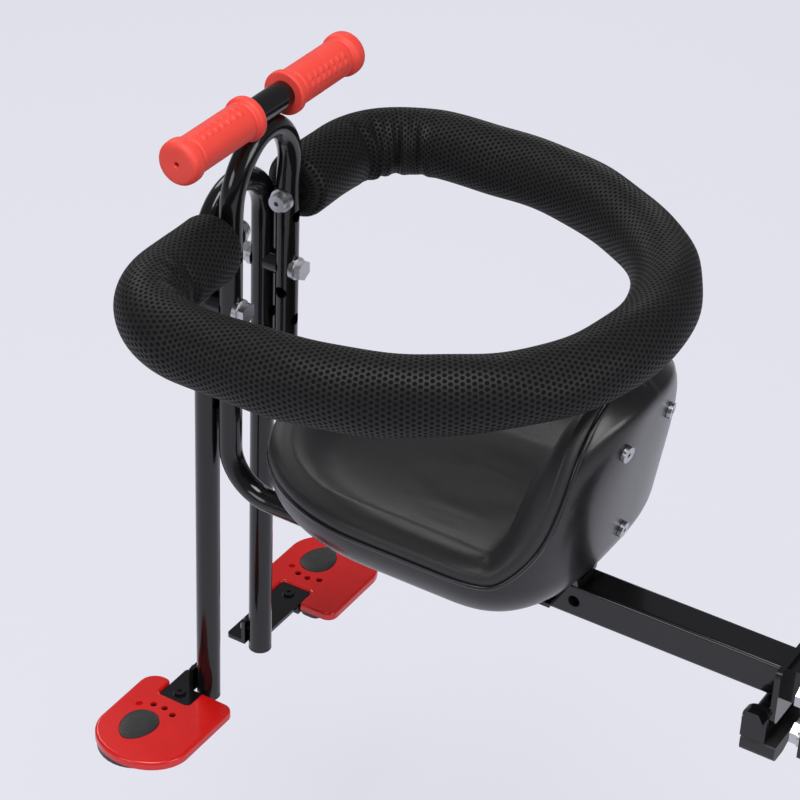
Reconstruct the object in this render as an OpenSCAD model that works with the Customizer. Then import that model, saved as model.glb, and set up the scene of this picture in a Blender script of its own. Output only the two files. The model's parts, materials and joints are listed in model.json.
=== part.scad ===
// Child seat carried on a bicycle's seatpost.
// A clamp on the seatpost carries a square main tube that runs forward.
// A bent tube frame is bolted to it and carries the seat, the guard ring,
// the handle bar and the leg frame with its two footrests.
// Axes: X forward, Y to the rider's left, Z up. Origin on the seatpost axis,
// level with the middle of the main tube. All lengths in millimetres.

/* [Seatpost clamp] */
// Diameter of the seatpost that the clamp holds
post_d = 27.2; // [25:0.2:31.6]
// Thickness of the rubber liners
liner_t = 3; // [2:0.5:4]
// Thickness of the steel jaws
jaw_t = 5; // [4:0.5:6]
// Height of the jaws
jaw_h = 50; // [46:1:60]
// Gap that stays open between the two jaws on each side
jaw_gap = 8; // [4:1:12]
// Thread diameter of the clamp bolts
clamp_bolt_d = 8; // [6:1:8]

/* [Main tube] */
// Width of the square main tube
tube_w = 25; // [22:1:28]
// Wall of the main tube
tube_wall = 2; // [1.5:0.5:3]
// Outer corner radius of the main tube
tube_corner = 2.5; // [2:0.5:4]
// Distance from the seatpost axis to the rear end of the main tube
tube_back = 37; // [34:1:60]
// Length of the main tube
tube_len = 293; // [250:1:330]
// Pitch of the adjusting holes in the main tube
hole_pitch = 30; // [25:1:32]
// Distance from the seatpost axis to the rearmost adjusting hole
first_hole = 184; // [170:1:190]

/* [Front frame] */
// Diameter of the bent frame tube
frame_d = 16; // [14:1:18]
// Wall of the frame tube
frame_wall = 1.5; // [1.2:0.1:2]
// Distance from the middle to each side of the frame
frame_half = 33; // [30:0.5:40]
// Distance from the seatpost axis to the uprights
frame_x = 440; // [400:1:480]
// Centreline radius of the bends at the foot of the uprights
bend_r = 34; // [28:1:45]
// Height of the straight uprights
upright_top = 199.8; // [180:0.2:240]
// Height of the arch above the slight bend in the uprights
arch_h = 42; // [38:0.5:44]
// Centreline radius of the slight bend that leans the arch to the rear
lean_r = 260; // [200:10:400]
// Spacing of the bolt holes in the uprights and the legs
bolt_pitch = 40; // [30:1:45]
// Diameter of the frame bolts
frame_bolt_d = 8; // [6:1:8]

/* [Leg frame] */
// Diameter of the leg tube
leg_d = 17; // [15:0.5:19]
// Gap between the uprights and the legs, filled by the saddle spacers
leg_gap = 2.5; // [1.5:0.5:6]
// Height at which the arch of the leg frame starts
leg_arch_z = 182; // [170:1:190]
// Depth of the lower end of the legs below the main tube's middle
leg_bottom = 191; // [160:1:240]
// Height of the bolt that joins the legs to the uprights
leg_bolt_z = 143; // [120:1:150]

/* [Handle bar] */
// Diameter of the handle bar
bar_d = 18.5; // [16:0.5:22]
// Length of each grip from its inner flange to its closed end
grip_len = 77; // [65:0.5:100]
// Distance that each grip reaches in from the middle of its upright
grip_inset = 13.5; // [9:0.5:18]
// Diameter of the grip body
grip_d = 26; // [24:0.5:30]
// Diameter of the grip flanges
grip_flange_d = 30; // [28:0.5:35]

/* [Guard ring] */
// Outer diameter of the padded ring
pad_d = 46; // [40:1:54]
// Height of the ring at the bolts on the uprights
guard_z = 196; // [180:1:204]
// Forward-down slope of the ring
guard_tilt = 1.7; // [0:0.1:4]
// Centreline radius of the bend behind the child
guard_rear_r = 138; // [120:1:150]
// Centreline radius of the side bends
guard_side_r = 208; // [170:1:240]
// Length of the straight stretch beside the child
guard_straight = 48; // [30:0.5:80]
// Centreline radius of the front corners
guard_corner_r = 54; // [45:1:65]
// Thickness of the mesh sleeve over the foam
sleeve_t = 1.2; // [1:0.1:2]

/* [Seat] */
// Widest width of the seat
seat_w = 206; // [170:1:220]
// Distance from the seatpost axis to the front of the seat
seat_front = 411; // [390:1:420]
// Distance from the seatpost axis to the lower back of the seat
seat_rear = 161.7; // [155:0.1:170]
// Height of the seat's underside
seat_under = 24; // [20:1:30]
// Height of the seam between the shell and the cushion
seam_z = 57.5; // [50:0.5:64]
// Height of the top of the backrest
back_top = 178; // [150:1:180]
// Wall of the moulded shell
shell_t = 3.5; // [2.5:0.5:5]
// Radius of the shell's lower edge
shell_edge_r = 30; // [20:1:32]
// Thickness of the boards under the cushion
board_t = 4; // [3:0.5:6]
// Rise of the cushion's lip above the seam
lip_h = 11; // [6:0.5:16]

/* [Footrests] */
// Height of the footrest top below the main tube's middle
rest_depth = 185; // [150:1:230]
// Thickness of the coloured tread plate
tread_t = 6.5; // [5:0.5:9]
// Thickness of the base under the tread plate
rest_base_t = 5; // [4:0.5:10]
// Distance from the left leg's middle out to the left footrest
rest_gap_left = 10; // [9:1:27]
// Distance from the right leg's middle out to the right footrest
rest_gap_right = 51; // [9:1:53]
// Length of the footrest from its inner to its outer end
rest_len = 89; // [80:1:100]
// Length of the sliding arm that carries each footrest
arm_len = 90; // [86:1:96]
// Thickness of the sliding arm
arm_t = 3; // [2:0.5:4]

/* [Hidden] */
$fn = 64;
bend_fn = 180;
fit = 0.2;
soft_gap = 0.3;
board_gap = 1.1;
post_r = post_d / 2;
liner_r = post_r + liner_t;
jaw_r = liner_r + jaw_t;
jaw_half_y = jaw_r + 21;
jaw_flat_x = jaw_gap / 2;
jaw_bolt_y = jaw_r + 11.5;
jaw_bolt_z = jaw_h / 2 - 10.5;
clamp_hole_d = clamp_bolt_d + 0.6;
plate_t = 4;
tube_front = tube_back + tube_len;
tube_half = tube_w / 2;
bushing_d = 12;
frame_r = frame_d / 2;
frame_hole_d = frame_bolt_d + 0.5;
run_back = first_hole + 1.5 * hole_pitch;
hole_count = 5;
cross_bolts = [first_hole + 2 * hole_pitch, first_hole + 4 * hole_pitch];
run_front = frame_x - bend_r;
leg_r = leg_d / 2;
leg_x = frame_x + frame_r + leg_gap + leg_r;
washer_t = 2.5;
washer_d = 16;
// Angles whose sine and cosine are short decimals, so that tangent bends meet exactly
split = atan2(0.8, 0.6);
lean = atan2(0.07584, 0.99712);
arch_step = (arch_h - frame_half) / (sin(split) + cos(split) - 1);
arch_side_r = frame_half + arch_step * cos(split);
arch_top_r = arch_side_r - arch_step;
lean_x = frame_x - lean_r * (1 - cos(lean));
lean_top = upright_top + lean_r * sin(lean);
arch_apex = [lean_x - arch_h * sin(lean), 0, lean_top + arch_h * cos(lean)];
bar_r = bar_d / 2;
bar_sink = 1;
bar_x = arch_apex.x;
bar_z = arch_apex.z + frame_r + bar_r - bar_sink;
weld_z = arch_apex.z + frame_r;
grip_cap_t = 4;
grip_start = frame_half - grip_inset;
grip_end = grip_start + grip_len;
bar_half = grip_end - grip_cap_t - soft_gap;
guard_r = frame_r;
guard_end_y = frame_half + frame_r + 1.5;
guard_front_x = frame_x + 3;
guard_bolt_d = 5;
guard_bolt_x = frame_x;
guard_side_y = guard_rear_r * sin(split) + guard_side_r * (1 - sin(split));
guard_depth = guard_rear_r * (1 - cos(split)) + guard_side_r * cos(split);
guard_side_x = guard_front_x - guard_corner_r - guard_straight;
guard_rear_x = guard_side_x - guard_depth;
pad_r = pad_d / 2;
seat_half = seat_w / 2;
seat_mid_rear = seat_rear + 73.3;
seat_mid_front = seat_front - 118;
back_lean = 0.16;
back_lean_z = 60.5;
top_round = 18;
dome_start = back_top - 81;
dome_power = 2.25;
seam_back_x = 165;
seam_sweep = 35;
seam_rise = 27;
columns = 56;
bracket_t = 3;
bracket_w = 32;
bracket_x = [first_hole - 2, first_hole + 106];
bracket_half_y = 52;
seat_bolt_y = 36;
seat_bolt_d = 6;
tread_z = -rest_depth;
rest_base_z = tread_z - tread_t;
arm_w = 25;
arm_x = leg_x + leg_r;
rest_in_left = frame_half + rest_gap_left;
rest_in_right = frame_half + rest_gap_right;
notch_front = arm_x + 17;
notch_back = notch_front - arm_w - 1.5;
rest_front = notch_front + 19;
rest_rear = notch_back - 29;

black = "#16171a";
rubber_red = "#ef5a52";
plastic_red = "#d8231b";
zinc = "#c9ccd0";
vinyl = "#2c2d30";

// Unit vector
function unit(v) = v / norm(v);

// Points of an outline whose corners [x, y, radius] are rounded by true fillets
function rounded(pts, steps = 6) = [
    for (i = [0:len(pts) - 1])
        let (
            here = [pts[i].x, pts[i].y],
            before = pts[(i + len(pts) - 1) % len(pts)],
            after = pts[(i + 1) % len(pts)],
            a = unit([before.x, before.y] - here),
            b = unit([after.x, after.y] - here),
            half = acos(a * b) / 2,
            r = pts[i].z,
            c = here + unit(a + b) * r / sin(half),
            s = here + a * r / tan(half) - c,
            e = here + b * r / tan(half) - c,
            start = atan2(s.y, s.x),
            turn = atan2(s.x * e.y - s.y * e.x, s * e)
        )
        for (k = [0:steps])
            c + r * [cos(start + turn * k / steps), sin(start + turn * k / steps)]
];

// Solid through a stack of rings that all have as many points. The first end is
// flat; the last is flat or, for a dished top, zipped from side to side
module loft(rings, zipped = false) {
    n = len(rings[0]);
    last = len(rings) - 1;
    m = n / 2;
    sides = [
        for (k = [0:last - 1], i = [0:n - 1], f = [0, 1])
            f == 0
                ? [k * n + i, (k + 1) * n + i, k * n + (i + 1) % n]
                : [k * n + (i + 1) % n, (k + 1) * n + i, (k + 1) * n + (i + 1) % n]
    ];
    bottom = [[for (i = [0:n - 1]) i]];
    top = !zipped ? [[for (i = [n - 1:-1:0]) last * n + i]]
        : [
            for (i = [0:m - 1])
                let (a = last * n + i, b = last * n + (n - i) % n, c = last * n + n - i - 1)
                for (f = [0, 1])
                    if (f == 0 ? i < m - 1 : i > 0)
                        f == 0 ? [a, c, a + 1] : [a, b, c]
        ];
    polyhedron(points = [for (ring = rings) each ring], faces = concat(sides, bottom, top));
}

// Both sides of the object, from a child drawn on the left
module both_sides() {
    children();
    mirror([0, 1, 0]) children();
}

// Square with rounded corners
module rounded_square(w, r) {
    square([w - 2 * r, w], center = true);
    square([w, w - 2 * r], center = true);
    for (sx = [-1, 1], sy = [-1, 1])
        translate([sx * (w / 2 - r), sy * (w / 2 - r)]) circle(r);
}

// Cross-section of a round tube
module tube_ring(d, wall) {
    difference() {
        circle(d = d);
        circle(d = d - 2 * wall);
    }
}

// Cylinders along the three axes
module along_x(d, x0, x1) {
    translate([x0, 0, 0]) rotate([0, 90, 0]) cylinder(d = d, h = x1 - x0);
}

module along_y(d, y0, y1) {
    translate([0, y0, 0]) rotate([-90, 0, 0]) cylinder(d = d, h = y1 - y0);
}

module along_z(d, z0, z1) {
    translate([0, 0, z0]) cylinder(d = d, h = z1 - z0);
}

// Hexagon bolt pointing up: head below zero, shank above
module hex_bolt(d, length) {
    translate([0, 0, -0.65 * d]) cylinder(d = 1.85 * d, h = 0.65 * d, $fn = 6);
    cylinder(d = d, h = length);
}

// Socket-head bolt pointing up, with its hexagon recess
module socket_bolt(d, length, head_d, head_h) {
    difference() {
        translate([0, 0, -head_h]) cylinder(d = head_d, h = head_h);
        translate([0, 0, -head_h - 1]) cylinder(d = 0.75 * d, h = 0.6 * head_h + 1, $fn = 6);
    }
    cylinder(d = d, h = length);
}

module hex_nut(d) {
    difference() {
        cylinder(d = 1.85 * d, h = 0.8 * d, $fn = 6);
        translate([0, 0, -1]) cylinder(d = d, h = 0.8 * d + 2);
    }
}

module washer(d, hole, t) {
    difference() {
        cylinder(d = d, h = t);
        translate([0, 0, -1]) cylinder(d = hole, h = t + 2);
    }
}

// Washer with a hollow back that seats on a round tube along Z; bolt along +X,
// flat face at -r-lift and hollow face towards the tube's axis at zero
module saddle_washer(tube_r, lift) {
    difference() {
        along_x(washer_d, -tube_r - lift, -tube_r - lift + washer_t + lift);
        along_x(frame_hole_d, -tube_r - lift - 1, 0);
        cylinder(r = tube_r, h = 2 * washer_d, center = true);
    }
}

// Places of the four clamp bolts
module at_clamp_bolts() {
    for (sy = [-1, 1], sz = [-1, 1])
        translate([0, sy * jaw_bolt_y, sz * jaw_bolt_z]) children();
}

// Half of the seatpost clamp: a bent plate that wraps the liner
module jaw(side) {
    difference() {
        union() {
            linear_extrude(jaw_h, center = true)
                intersection() {
                    tube_ring(2 * jaw_r, jaw_t);
                    translate([side * jaw_flat_x, -jaw_r])
                        mirror([side < 0 ? 1 : 0, 0]) square([jaw_r, 2 * jaw_r]);
                }
            for (sy = [-1, 1])
                translate([
                    side > 0 ? jaw_flat_x : -jaw_flat_x - jaw_t,
                    sy > 0 ? jaw_r - jaw_t / 2 : -jaw_half_y,
                    -jaw_h / 2
                ])
                    cube([jaw_t, jaw_half_y - jaw_r + jaw_t / 2, jaw_h]);
        }
        at_clamp_bolts() along_x(clamp_hole_d, -jaw_r, jaw_r);
        cylinder(r = liner_r, h = jaw_h + 2, center = true);
    }
}

// The front jaw carries a neck and the upright plate that meets the main tube
module clamp_jaw_front() {
    neck_y = tube_w - 3;
    color(black) {
        jaw(1);
        difference() {
            translate([0, -neck_y / 2, -tube_half])
                cube([tube_back - plate_t, neck_y, tube_w]);
            cylinder(r = jaw_r - jaw_t / 2, h = jaw_h, center = true);
        }
        translate([tube_back - plate_t, 0, 0]) rotate([90, 0, 90])
            linear_extrude(plate_t)
                polygon(rounded([
                    [-24, tube_half + 4, 5], [24, tube_half + 4, 5],
                    [24, -jaw_h / 2, 5], [-24, -jaw_h / 2, 5]
                ]));
    }
}

module clamp_jaw_rear() {
    color(black) jaw(-1);
}

module liner(side) {
    color("#0c0c0d")
        linear_extrude(jaw_h, center = true)
            intersection() {
                tube_ring(2 * liner_r, liner_t);
                translate([side * (jaw_flat_x - 1), -liner_r])
                    mirror([side < 0 ? 1 : 0, 0]) square([liner_r, 2 * liner_r]);
            }
}

module clamp_liner_front() {
    liner(1);
}

module clamp_liner_rear() {
    liner(-1);
}

clamp_head_x = jaw_flat_x + jaw_t + washer_t;
clamp_tail_x = -jaw_flat_x - jaw_t - washer_t;

module clamp_bolts() {
    color(zinc)
        at_clamp_bolts()
            translate([clamp_head_x, 0, 0]) rotate([0, -90, 0])
                hex_bolt(clamp_bolt_d, clamp_head_x - clamp_tail_x + clamp_bolt_d);
}

module clamp_washers() {
    color(zinc)
        at_clamp_bolts() {
            translate([clamp_head_x - washer_t, 0, 0]) rotate([0, 90, 0])
                washer(washer_d, clamp_hole_d, washer_t);
            translate([clamp_tail_x, 0, 0]) rotate([0, 90, 0])
                washer(washer_d, clamp_hole_d, washer_t);
        }
}

module clamp_nuts() {
    color(zinc)
        at_clamp_bolts()
            translate([clamp_tail_x, 0, 0]) rotate([0, -90, 0]) hex_nut(clamp_bolt_d);
}

// Lower bracket that rests against the bicycle's frame, on the front of the plate
rest_half_y = 26;
rest_wall = 4;
rest_low = -52;
rest_bolt_x = tube_back + 8;
rest_bolt_z = -tube_half - 9;

module rest_side_outline() {
    polygon(rounded([
        [tube_back, -tube_half - 1.5, 1], [tube_back + 17, -tube_half - 1.5, 9],
        [tube_back + 17, rest_low + 12, 3], [tube_back, rest_low + 12, 1]
    ]));
}

module rest_bracket() {
    color(black)
        difference() {
            union() {
                for (sy = [-1, 1])
                    translate([0, sy > 0 ? rest_half_y : rest_wall - rest_half_y, 0])
                        rotate([90, 0, 0]) linear_extrude(rest_wall) rest_side_outline();
                translate([tube_back, -rest_half_y, rest_low + 12])
                    cube([17, 2 * rest_half_y, rest_wall]);
                translate([tube_back, -rest_half_y, rest_low + 12])
                    cube([rest_wall, 2 * rest_half_y, 12]);
            }
            translate([rest_bolt_x, 0, rest_bolt_z]) along_y(frame_hole_d, -60, 60);
        }
}

module rest_pad() {
    color("#0c0c0d")
        translate([tube_back - 8, 0, 0]) rotate([90, 0, 90])
            linear_extrude(24)
                polygon(rounded([
                    [-rest_half_y - 1, rest_low + 12, 2], [-rest_half_y - 1, rest_low, 5],
                    [-12, rest_low, 3], [0, rest_low + 5, 14],
                    [12, rest_low, 3], [rest_half_y + 1, rest_low, 5],
                    [rest_half_y + 1, rest_low + 12, 2]
                ]));
}

module rest_bolt() {
    color(zinc) {
        translate([rest_bolt_x, rest_half_y, rest_bolt_z]) rotate([90, 0, 0])
            hex_bolt(frame_bolt_d, 2 * rest_half_y + 9);
        translate([rest_bolt_x, -rest_half_y, rest_bolt_z]) rotate([90, 0, 0])
            hex_nut(frame_bolt_d);
    }
}

module at_tube_holes() {
    for (i = [0:hole_count - 1])
        translate([first_hole + i * hole_pitch, 0, 0]) children();
}

module main_tube() {
    color(black)
        difference() {
            translate([tube_back, 0, 0]) rotate([90, 0, 90])
                linear_extrude(tube_len)
                    difference() {
                        rounded_square(tube_w, tube_corner);
                        rounded_square(tube_w - 2 * tube_wall, tube_corner - tube_wall + 0.3);
                    }
            at_tube_holes() along_y(bushing_d, -tube_w, tube_w);
            for (x = bracket_x)
                translate([x + bracket_w / 2, 0, 0]) along_z(seat_bolt_d, 0, tube_w);
        }
}

// Pressed-in bushings that stop the cross bolts from crushing the tube
module tube_bushings() {
    color("#1d1e21")
        at_tube_holes()
            difference() {
                along_y(bushing_d, -tube_half, tube_half);
                along_y(frame_hole_d, -tube_w, tube_w);
            }
}

module tube_end_plug() {
    inner = tube_w - 2 * tube_wall - fit;
    color("#0c0c0d") translate([tube_front, 0, 0]) rotate([90, 0, 90]) {
        linear_extrude(3) rounded_square(tube_w, tube_corner);
        translate([0, 0, -10]) linear_extrude(10)
            difference() {
                rounded_square(inner, 1);
                rounded_square(inner - 4, 0.6);
            }
    }
}

// Bent tube of a given section, from the X axis through the angle a, cut square at its end
module bend(r, a) {
    intersection() {
        rotate_extrude(angle = a + 8, $fn = bend_fn) translate([r, 0]) children();
        rotate([0, 0, a]) translate([0, -2 * r, -pad_d]) cube([2 * r, 2 * r, 2 * pad_d]);
    }
}

// One side of the bent frame: run under the seat, bend and upright
module frame_side() {
    translate([run_back, frame_half, 0]) rotate([90, 0, 90])
        linear_extrude(run_front - run_back) tube_ring(frame_d, frame_wall);
    translate([run_front, frame_half, bend_r]) rotate([90, 0, 0]) rotate([0, 0, -90])
        rotate_extrude(angle = 90, $fn = bend_fn)
            translate([bend_r, 0]) tube_ring(frame_d, frame_wall);
    translate([frame_x, frame_half, bend_r])
        linear_extrude(upright_top - bend_r) tube_ring(frame_d, frame_wall);
    translate([frame_x - lean_r, frame_half, upright_top]) rotate([90, 0, 0])
        bend(lean_r, lean) tube_ring(frame_d, frame_wall);
}

// Arch of four bends in its own upright plane, Y across and Z up
module frame_arch() {
    rotate([90, 0, 90])
        for (m = [0, 1])
            mirror([m, 0, 0]) {
                translate([frame_half - arch_side_r, 0, 0])
                    bend(arch_side_r, split) tube_ring(frame_d, frame_wall);
                translate([0, arch_h - arch_top_r, 0]) rotate([0, 0, 90])
                    bend(arch_top_r, 90 - split) tube_ring(frame_d, frame_wall);
            }
}

module at_cross_bolts() {
    for (x = cross_bolts) translate([x, 0, 0]) children();
}

module u_frame() {
    color(black) {
        both_sides()
            difference() {
                frame_side();
                translate([0, frame_half, 0]) {
                    at_cross_bolts() along_y(frame_hole_d, -frame_d, frame_d);
                    for (k = [-1:1])
                        translate([0, 0, leg_bolt_z + k * bolt_pitch])
                            along_x(frame_hole_d, run_front, frame_x + frame_d);
                    for (z = [leg_bolt_z - 18, guard_z])
                        translate([frame_x, 0, z]) along_y(frame_hole_d, -frame_d, frame_d);
                }
            }
        translate([frame_x - lean_r, 0, upright_top]) rotate([0, -lean, 0])
            translate([lean_r, 0, 0]) frame_arch();
    }
}

module frame_end_plugs() {
    bore = frame_d - 2 * frame_wall - fit;
    color("#0c0c0d")
        both_sides()
            translate([run_back, frame_half, 0]) {
                along_x(frame_d, -2.5, 0);
                along_x(bore, 0, 9);
            }
}

// Sleeves that hold the frame's runs off the main tube
module frame_sleeves() {
    gap = frame_half - frame_r;
    color(black)
        both_sides()
            at_cross_bolts()
                difference() {
                    along_y(bushing_d, tube_half, frame_half);
                    along_y(frame_hole_d, 0, 2 * frame_half);
                    translate([0, frame_half, 0]) along_x(frame_d, -20, 20);
                    translate([0, frame_half, -20]) cube([40, 20, 40]);
                }
}

cross_seat_y = frame_half + frame_r + 1;

module frame_bolts() {
    color(zinc)
        at_cross_bolts()
            translate([0, cross_seat_y, 0]) rotate([90, 0, 0])
                hex_bolt(frame_bolt_d, 2 * cross_seat_y + frame_bolt_d);
}

module frame_washers() {
    color(zinc)
        both_sides()
            at_cross_bolts()
                translate([0, frame_half, 0]) rotate([0, 90, 0]) rotate([0, 0, -90])
                    saddle_washer(frame_r, 1);
}

module frame_nuts() {
    color(zinc)
        at_cross_bolts()
            translate([0, -cross_seat_y, 0]) rotate([90, 0, 0]) hex_nut(frame_bolt_d);
}

// A small flat under the bar seats it on the arch, where the two are welded
module handle_bar() {
    color(black)
        difference() {
            translate([bar_x, -bar_half, bar_z]) rotate([-90, 0, 0])
                linear_extrude(2 * bar_half) tube_ring(bar_d, 1.6);
            slab(bar_x - bar_r, bar_x + bar_r, -6, 6, weld_z - 2 * bar_sink, weld_z);
        }
}

// Moulded grip with two flanges and a closed, domed end
module grip() {
    bore_r = bar_r + fit;
    body_r = grip_d / 2;
    flange_r = grip_flange_d / 2;
    color(rubber_red)
        translate([bar_x, grip_start, bar_z]) rotate([-90, 0, 0])
            rotate_extrude()
                difference() {
                    polygon(concat(
                        [[0, 0], [flange_r - 1.5, 0], [flange_r, 1.5], [flange_r, 4.5],
                            [flange_r - 1.5, 6], [body_r, 7], [body_r - 0.6, 8.5],
                            [body_r, 10], [body_r, grip_len - 15], [body_r - 0.6, grip_len - 13.5],
                            [body_r, grip_len - 12], [flange_r - 1.5, grip_len - 11],
                            [flange_r, grip_len - 9.5]],
                        [for (a = [0:15:90])
                            [flange_r - 6 + 6 * cos(a), grip_len - 6 + 6 * sin(a)]],
                        [[0, grip_len]]
                    ));
                    square([bore_r, grip_len - grip_cap_t]);
                    square([1.5, grip_len + 1]);
                }
}

module grip_left() {
    grip();
}

module grip_right() {
    mirror([0, 1, 0]) grip();
}

module at_leg_bolts() {
    for (sy = [-1, 1]) translate([0, sy * frame_half, leg_bolt_z]) children();
}

module leg_frame() {
    color(black)
        difference() {
            union() {
                both_sides()
                    translate([leg_x, frame_half, -leg_bottom])
                        linear_extrude(leg_bottom + leg_arch_z) tube_ring(leg_d, frame_wall);
                translate([leg_x, 0, leg_arch_z]) rotate([90, 0, 90])
                    rotate_extrude(angle = 180)
                        translate([frame_half, 0]) tube_ring(leg_d, frame_wall);
            }
            for (k = [-2:0], sy = [-1, 1])
                translate([0, sy * frame_half, leg_bolt_z + k * bolt_pitch])
                    along_x(frame_hole_d, frame_x, leg_x + leg_d);
            both_sides()
                translate([0, frame_half, arm_bolt_z])
                    along_x(insert_d, leg_x, leg_x + leg_d);
        }
}

// Blocks with a hollow on each side that seat between an upright and a leg
module leg_saddles() {
    color(black)
        at_leg_bolts()
            difference() {
                along_x(washer_d, frame_x + 4, leg_x - 4);
                translate([frame_x, 0, 0]) cylinder(r = frame_r, h = 40, center = true);
                translate([leg_x, 0, 0]) cylinder(r = leg_r, h = 40, center = true);
                along_x(frame_hole_d, frame_x, leg_x);
            }
}

leg_seat_x = frame_x - frame_r - 1;
leg_nut_x = leg_x + leg_r + 1;

module leg_bolts() {
    color(zinc)
        at_leg_bolts()
            translate([leg_seat_x, 0, 0]) rotate([0, 90, 0])
                hex_bolt(frame_bolt_d, leg_nut_x - leg_seat_x + frame_bolt_d);
}

module leg_washers() {
    color(zinc)
        at_leg_bolts() {
            translate([frame_x, 0, 0]) saddle_washer(frame_r, 1);
            translate([leg_x, 0, 0]) rotate([0, 0, 180]) saddle_washer(leg_r, 1);
        }
}

module leg_nuts() {
    color(zinc)
        at_leg_bolts() translate([leg_nut_x, 0, 0]) rotate([0, 90, 0]) hex_nut(frame_bolt_d);
}

module leg_end_plugs() {
    bore = leg_d - 2 * frame_wall - fit;
    color("#0c0c0d")
        both_sides()
            translate([leg_x, frame_half, -leg_bottom]) {
                along_z(leg_d, -2.5, 0);
                along_z(bore, 0, 1.5);
            }
}

// Places a child drawn in the flat plan of the ring at the ring's slope
module guard_plane() {
    translate([guard_bolt_x, 0, guard_z]) rotate([0, guard_tilt, 0])
        translate([-guard_bolt_x, 0, 0]) children();
}

// Left half of the ring from behind the child to the upright, for a given section
module guard_half(end_y) {
    mid = [guard_side_x, guard_side_y];
    translate([guard_rear_x + guard_rear_r, 0, 0]) mirror([1, 0, 0])
        bend(guard_rear_r, split) children();
    translate([mid.x, mid.y - guard_side_r, 0]) rotate([0, 0, 90])
        bend(guard_side_r, 90 - split) children();
    translate([mid.x, mid.y, 0]) rotate([90, 0, 90])
        linear_extrude(guard_straight) children();
    translate([mid.x + guard_straight, mid.y - guard_corner_r, 0])
        rotate_extrude(angle = 90, $fn = bend_fn) translate([guard_corner_r, 0]) children();
    translate([guard_front_x, end_y, 0]) rotate([-90, 0, 0])
        linear_extrude(mid.y - guard_corner_r - end_y) children();
}

pad_round = 12;
pad_end_y = guard_end_y + pad_round + 1;

// Rounded end of the padding beside the upright, as a section turned about the tube
module guard_cap(outer, inner_r) {
    translate([guard_front_x, pad_end_y, 0]) rotate([90, 0, 0])
        rotate_extrude()
            difference() {
                intersection() {
                    translate([outer - pad_round, 0]) circle(pad_round);
                    square([outer, pad_round]);
                }
                square([inner_r, pad_round]);
            }
    translate([guard_front_x, pad_end_y, 0]) rotate([90, 0, 0])
        difference() {
            cylinder(r = outer - pad_round, h = pad_round);
            translate([0, 0, -1]) cylinder(r = inner_r, h = pad_round + 2);
        }
}

module guard_tube() {
    color(black)
        guard_plane() both_sides() guard_half(guard_end_y) tube_ring(frame_d, frame_wall);
}

// Threaded end pieces in the ring's tube, hollowed to seat on the uprights
module guard_end_plugs() {
    bore = frame_d - 2 * frame_wall - fit;
    color(black)
        both_sides()
            difference() {
                guard_plane() translate([guard_front_x, 0, 0]) {
                    along_y(bore, guard_end_y, guard_end_y + 18);
                    along_y(frame_d - 2, frame_half, guard_end_y);
                }
                translate([frame_x, frame_half, 0]) cylinder(r = frame_r, h = 2 * guard_z);
                translate([frame_x, 0, guard_z])
                    along_y(guard_bolt_d, 0, guard_end_y + 20);
            }
}

module guard_foam() {
    outer = pad_r - sleeve_t - soft_gap;
    inner = guard_r + soft_gap;
    color("#3a3a3c")
        guard_plane()
            both_sides() {
                guard_half(pad_end_y) tube_ring(2 * outer, outer - inner);
                guard_cap(outer, inner);
            }
}

module guard_sleeve() {
    color("#202124")
        guard_plane()
            both_sides()
                guard_half(pad_end_y) tube_ring(pad_d, sleeve_t);
}

guard_seat_y = frame_half - frame_r - 1;

module guard_bolts() {
    color(zinc)
        both_sides()
            translate([frame_x, guard_seat_y, guard_z]) rotate([-90, 0, 0])
                socket_bolt(guard_bolt_d, guard_end_y - guard_seat_y + 14, 12, 5);
}

module guard_washers() {
    color(zinc)
        both_sides()
            translate([frame_x, frame_half, guard_z]) rotate([0, 0, 90])
                saddle_washer(frame_r, 1);
}

// Section of the steel hat bracket between the main tube and the seat
module bracket_outline() {
    foot = tube_half + bracket_t;
    wing = seat_under - bracket_t;
    polygon([
        [-tube_half, tube_half], [tube_half, tube_half], [tube_half + 3, wing],
        [bracket_half_y, wing], [bracket_half_y, seat_under], [tube_half, seat_under],
        [tube_half - 3, foot], [3 - tube_half, foot], [-tube_half, seat_under],
        [-bracket_half_y, seat_under], [-bracket_half_y, wing], [-tube_half - 3, wing]
    ]);
}

module seat_bracket(x) {
    color(black)
        difference() {
            translate([x, 0, 0]) rotate([90, 0, 90])
                linear_extrude(bracket_w) bracket_outline();
            translate([x + bracket_w / 2, 0, 0]) {
                along_z(seat_bolt_d + 0.4, 0, 2 * seat_under);
                for (sy = [-1, 1])
                    translate([0, sy * seat_bolt_y, 0])
                        along_z(seat_bolt_d + 0.4, 0, 2 * seat_under);
            }
        }
}

module seat_bracket_rear() {
    seat_bracket(bracket_x[0]);
}

module seat_bracket_front() {
    seat_bracket(bracket_x[1]);
}

module at_brackets() {
    for (x = bracket_x) translate([x + bracket_w / 2, 0, 0]) children();
}

// Screws that hold the brackets down on the main tube
module bracket_screws() {
    color(zinc)
        at_brackets()
            translate([0, 0, tube_half + bracket_t]) rotate([180, 0, 0])
                socket_bolt(seat_bolt_d, bracket_t + tube_wall + 2, 11, 3.2);
}

// Bolts that come up through the brackets into the seat
module seat_bolts() {
    color(zinc)
        at_brackets()
            for (sy = [-1, 1])
                translate([0, sy * seat_bolt_y, seat_under - bracket_t])
                    hex_bolt(seat_bolt_d, bracket_t + shell_t + board_t - 0.5);
}

// Height and lean of the back of the shell
function rear_x(z) = seat_rear - back_lean * (z - back_lean_z)
    + (z > back_top - top_round
        ? top_round * (1 - sqrt(max(0, 1 - pow((z - back_top + top_round) / top_round, 2))))
        : 0);

// Half width of the plan outline at a height: even low down, a dome at the top
function half_w(z) = z < dome_start
    ? seat_half
    : seat_half * pow(max(0, 1 - pow((z - dome_start) / (back_top - dome_start), dome_power)),
        1 / dome_power);

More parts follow.
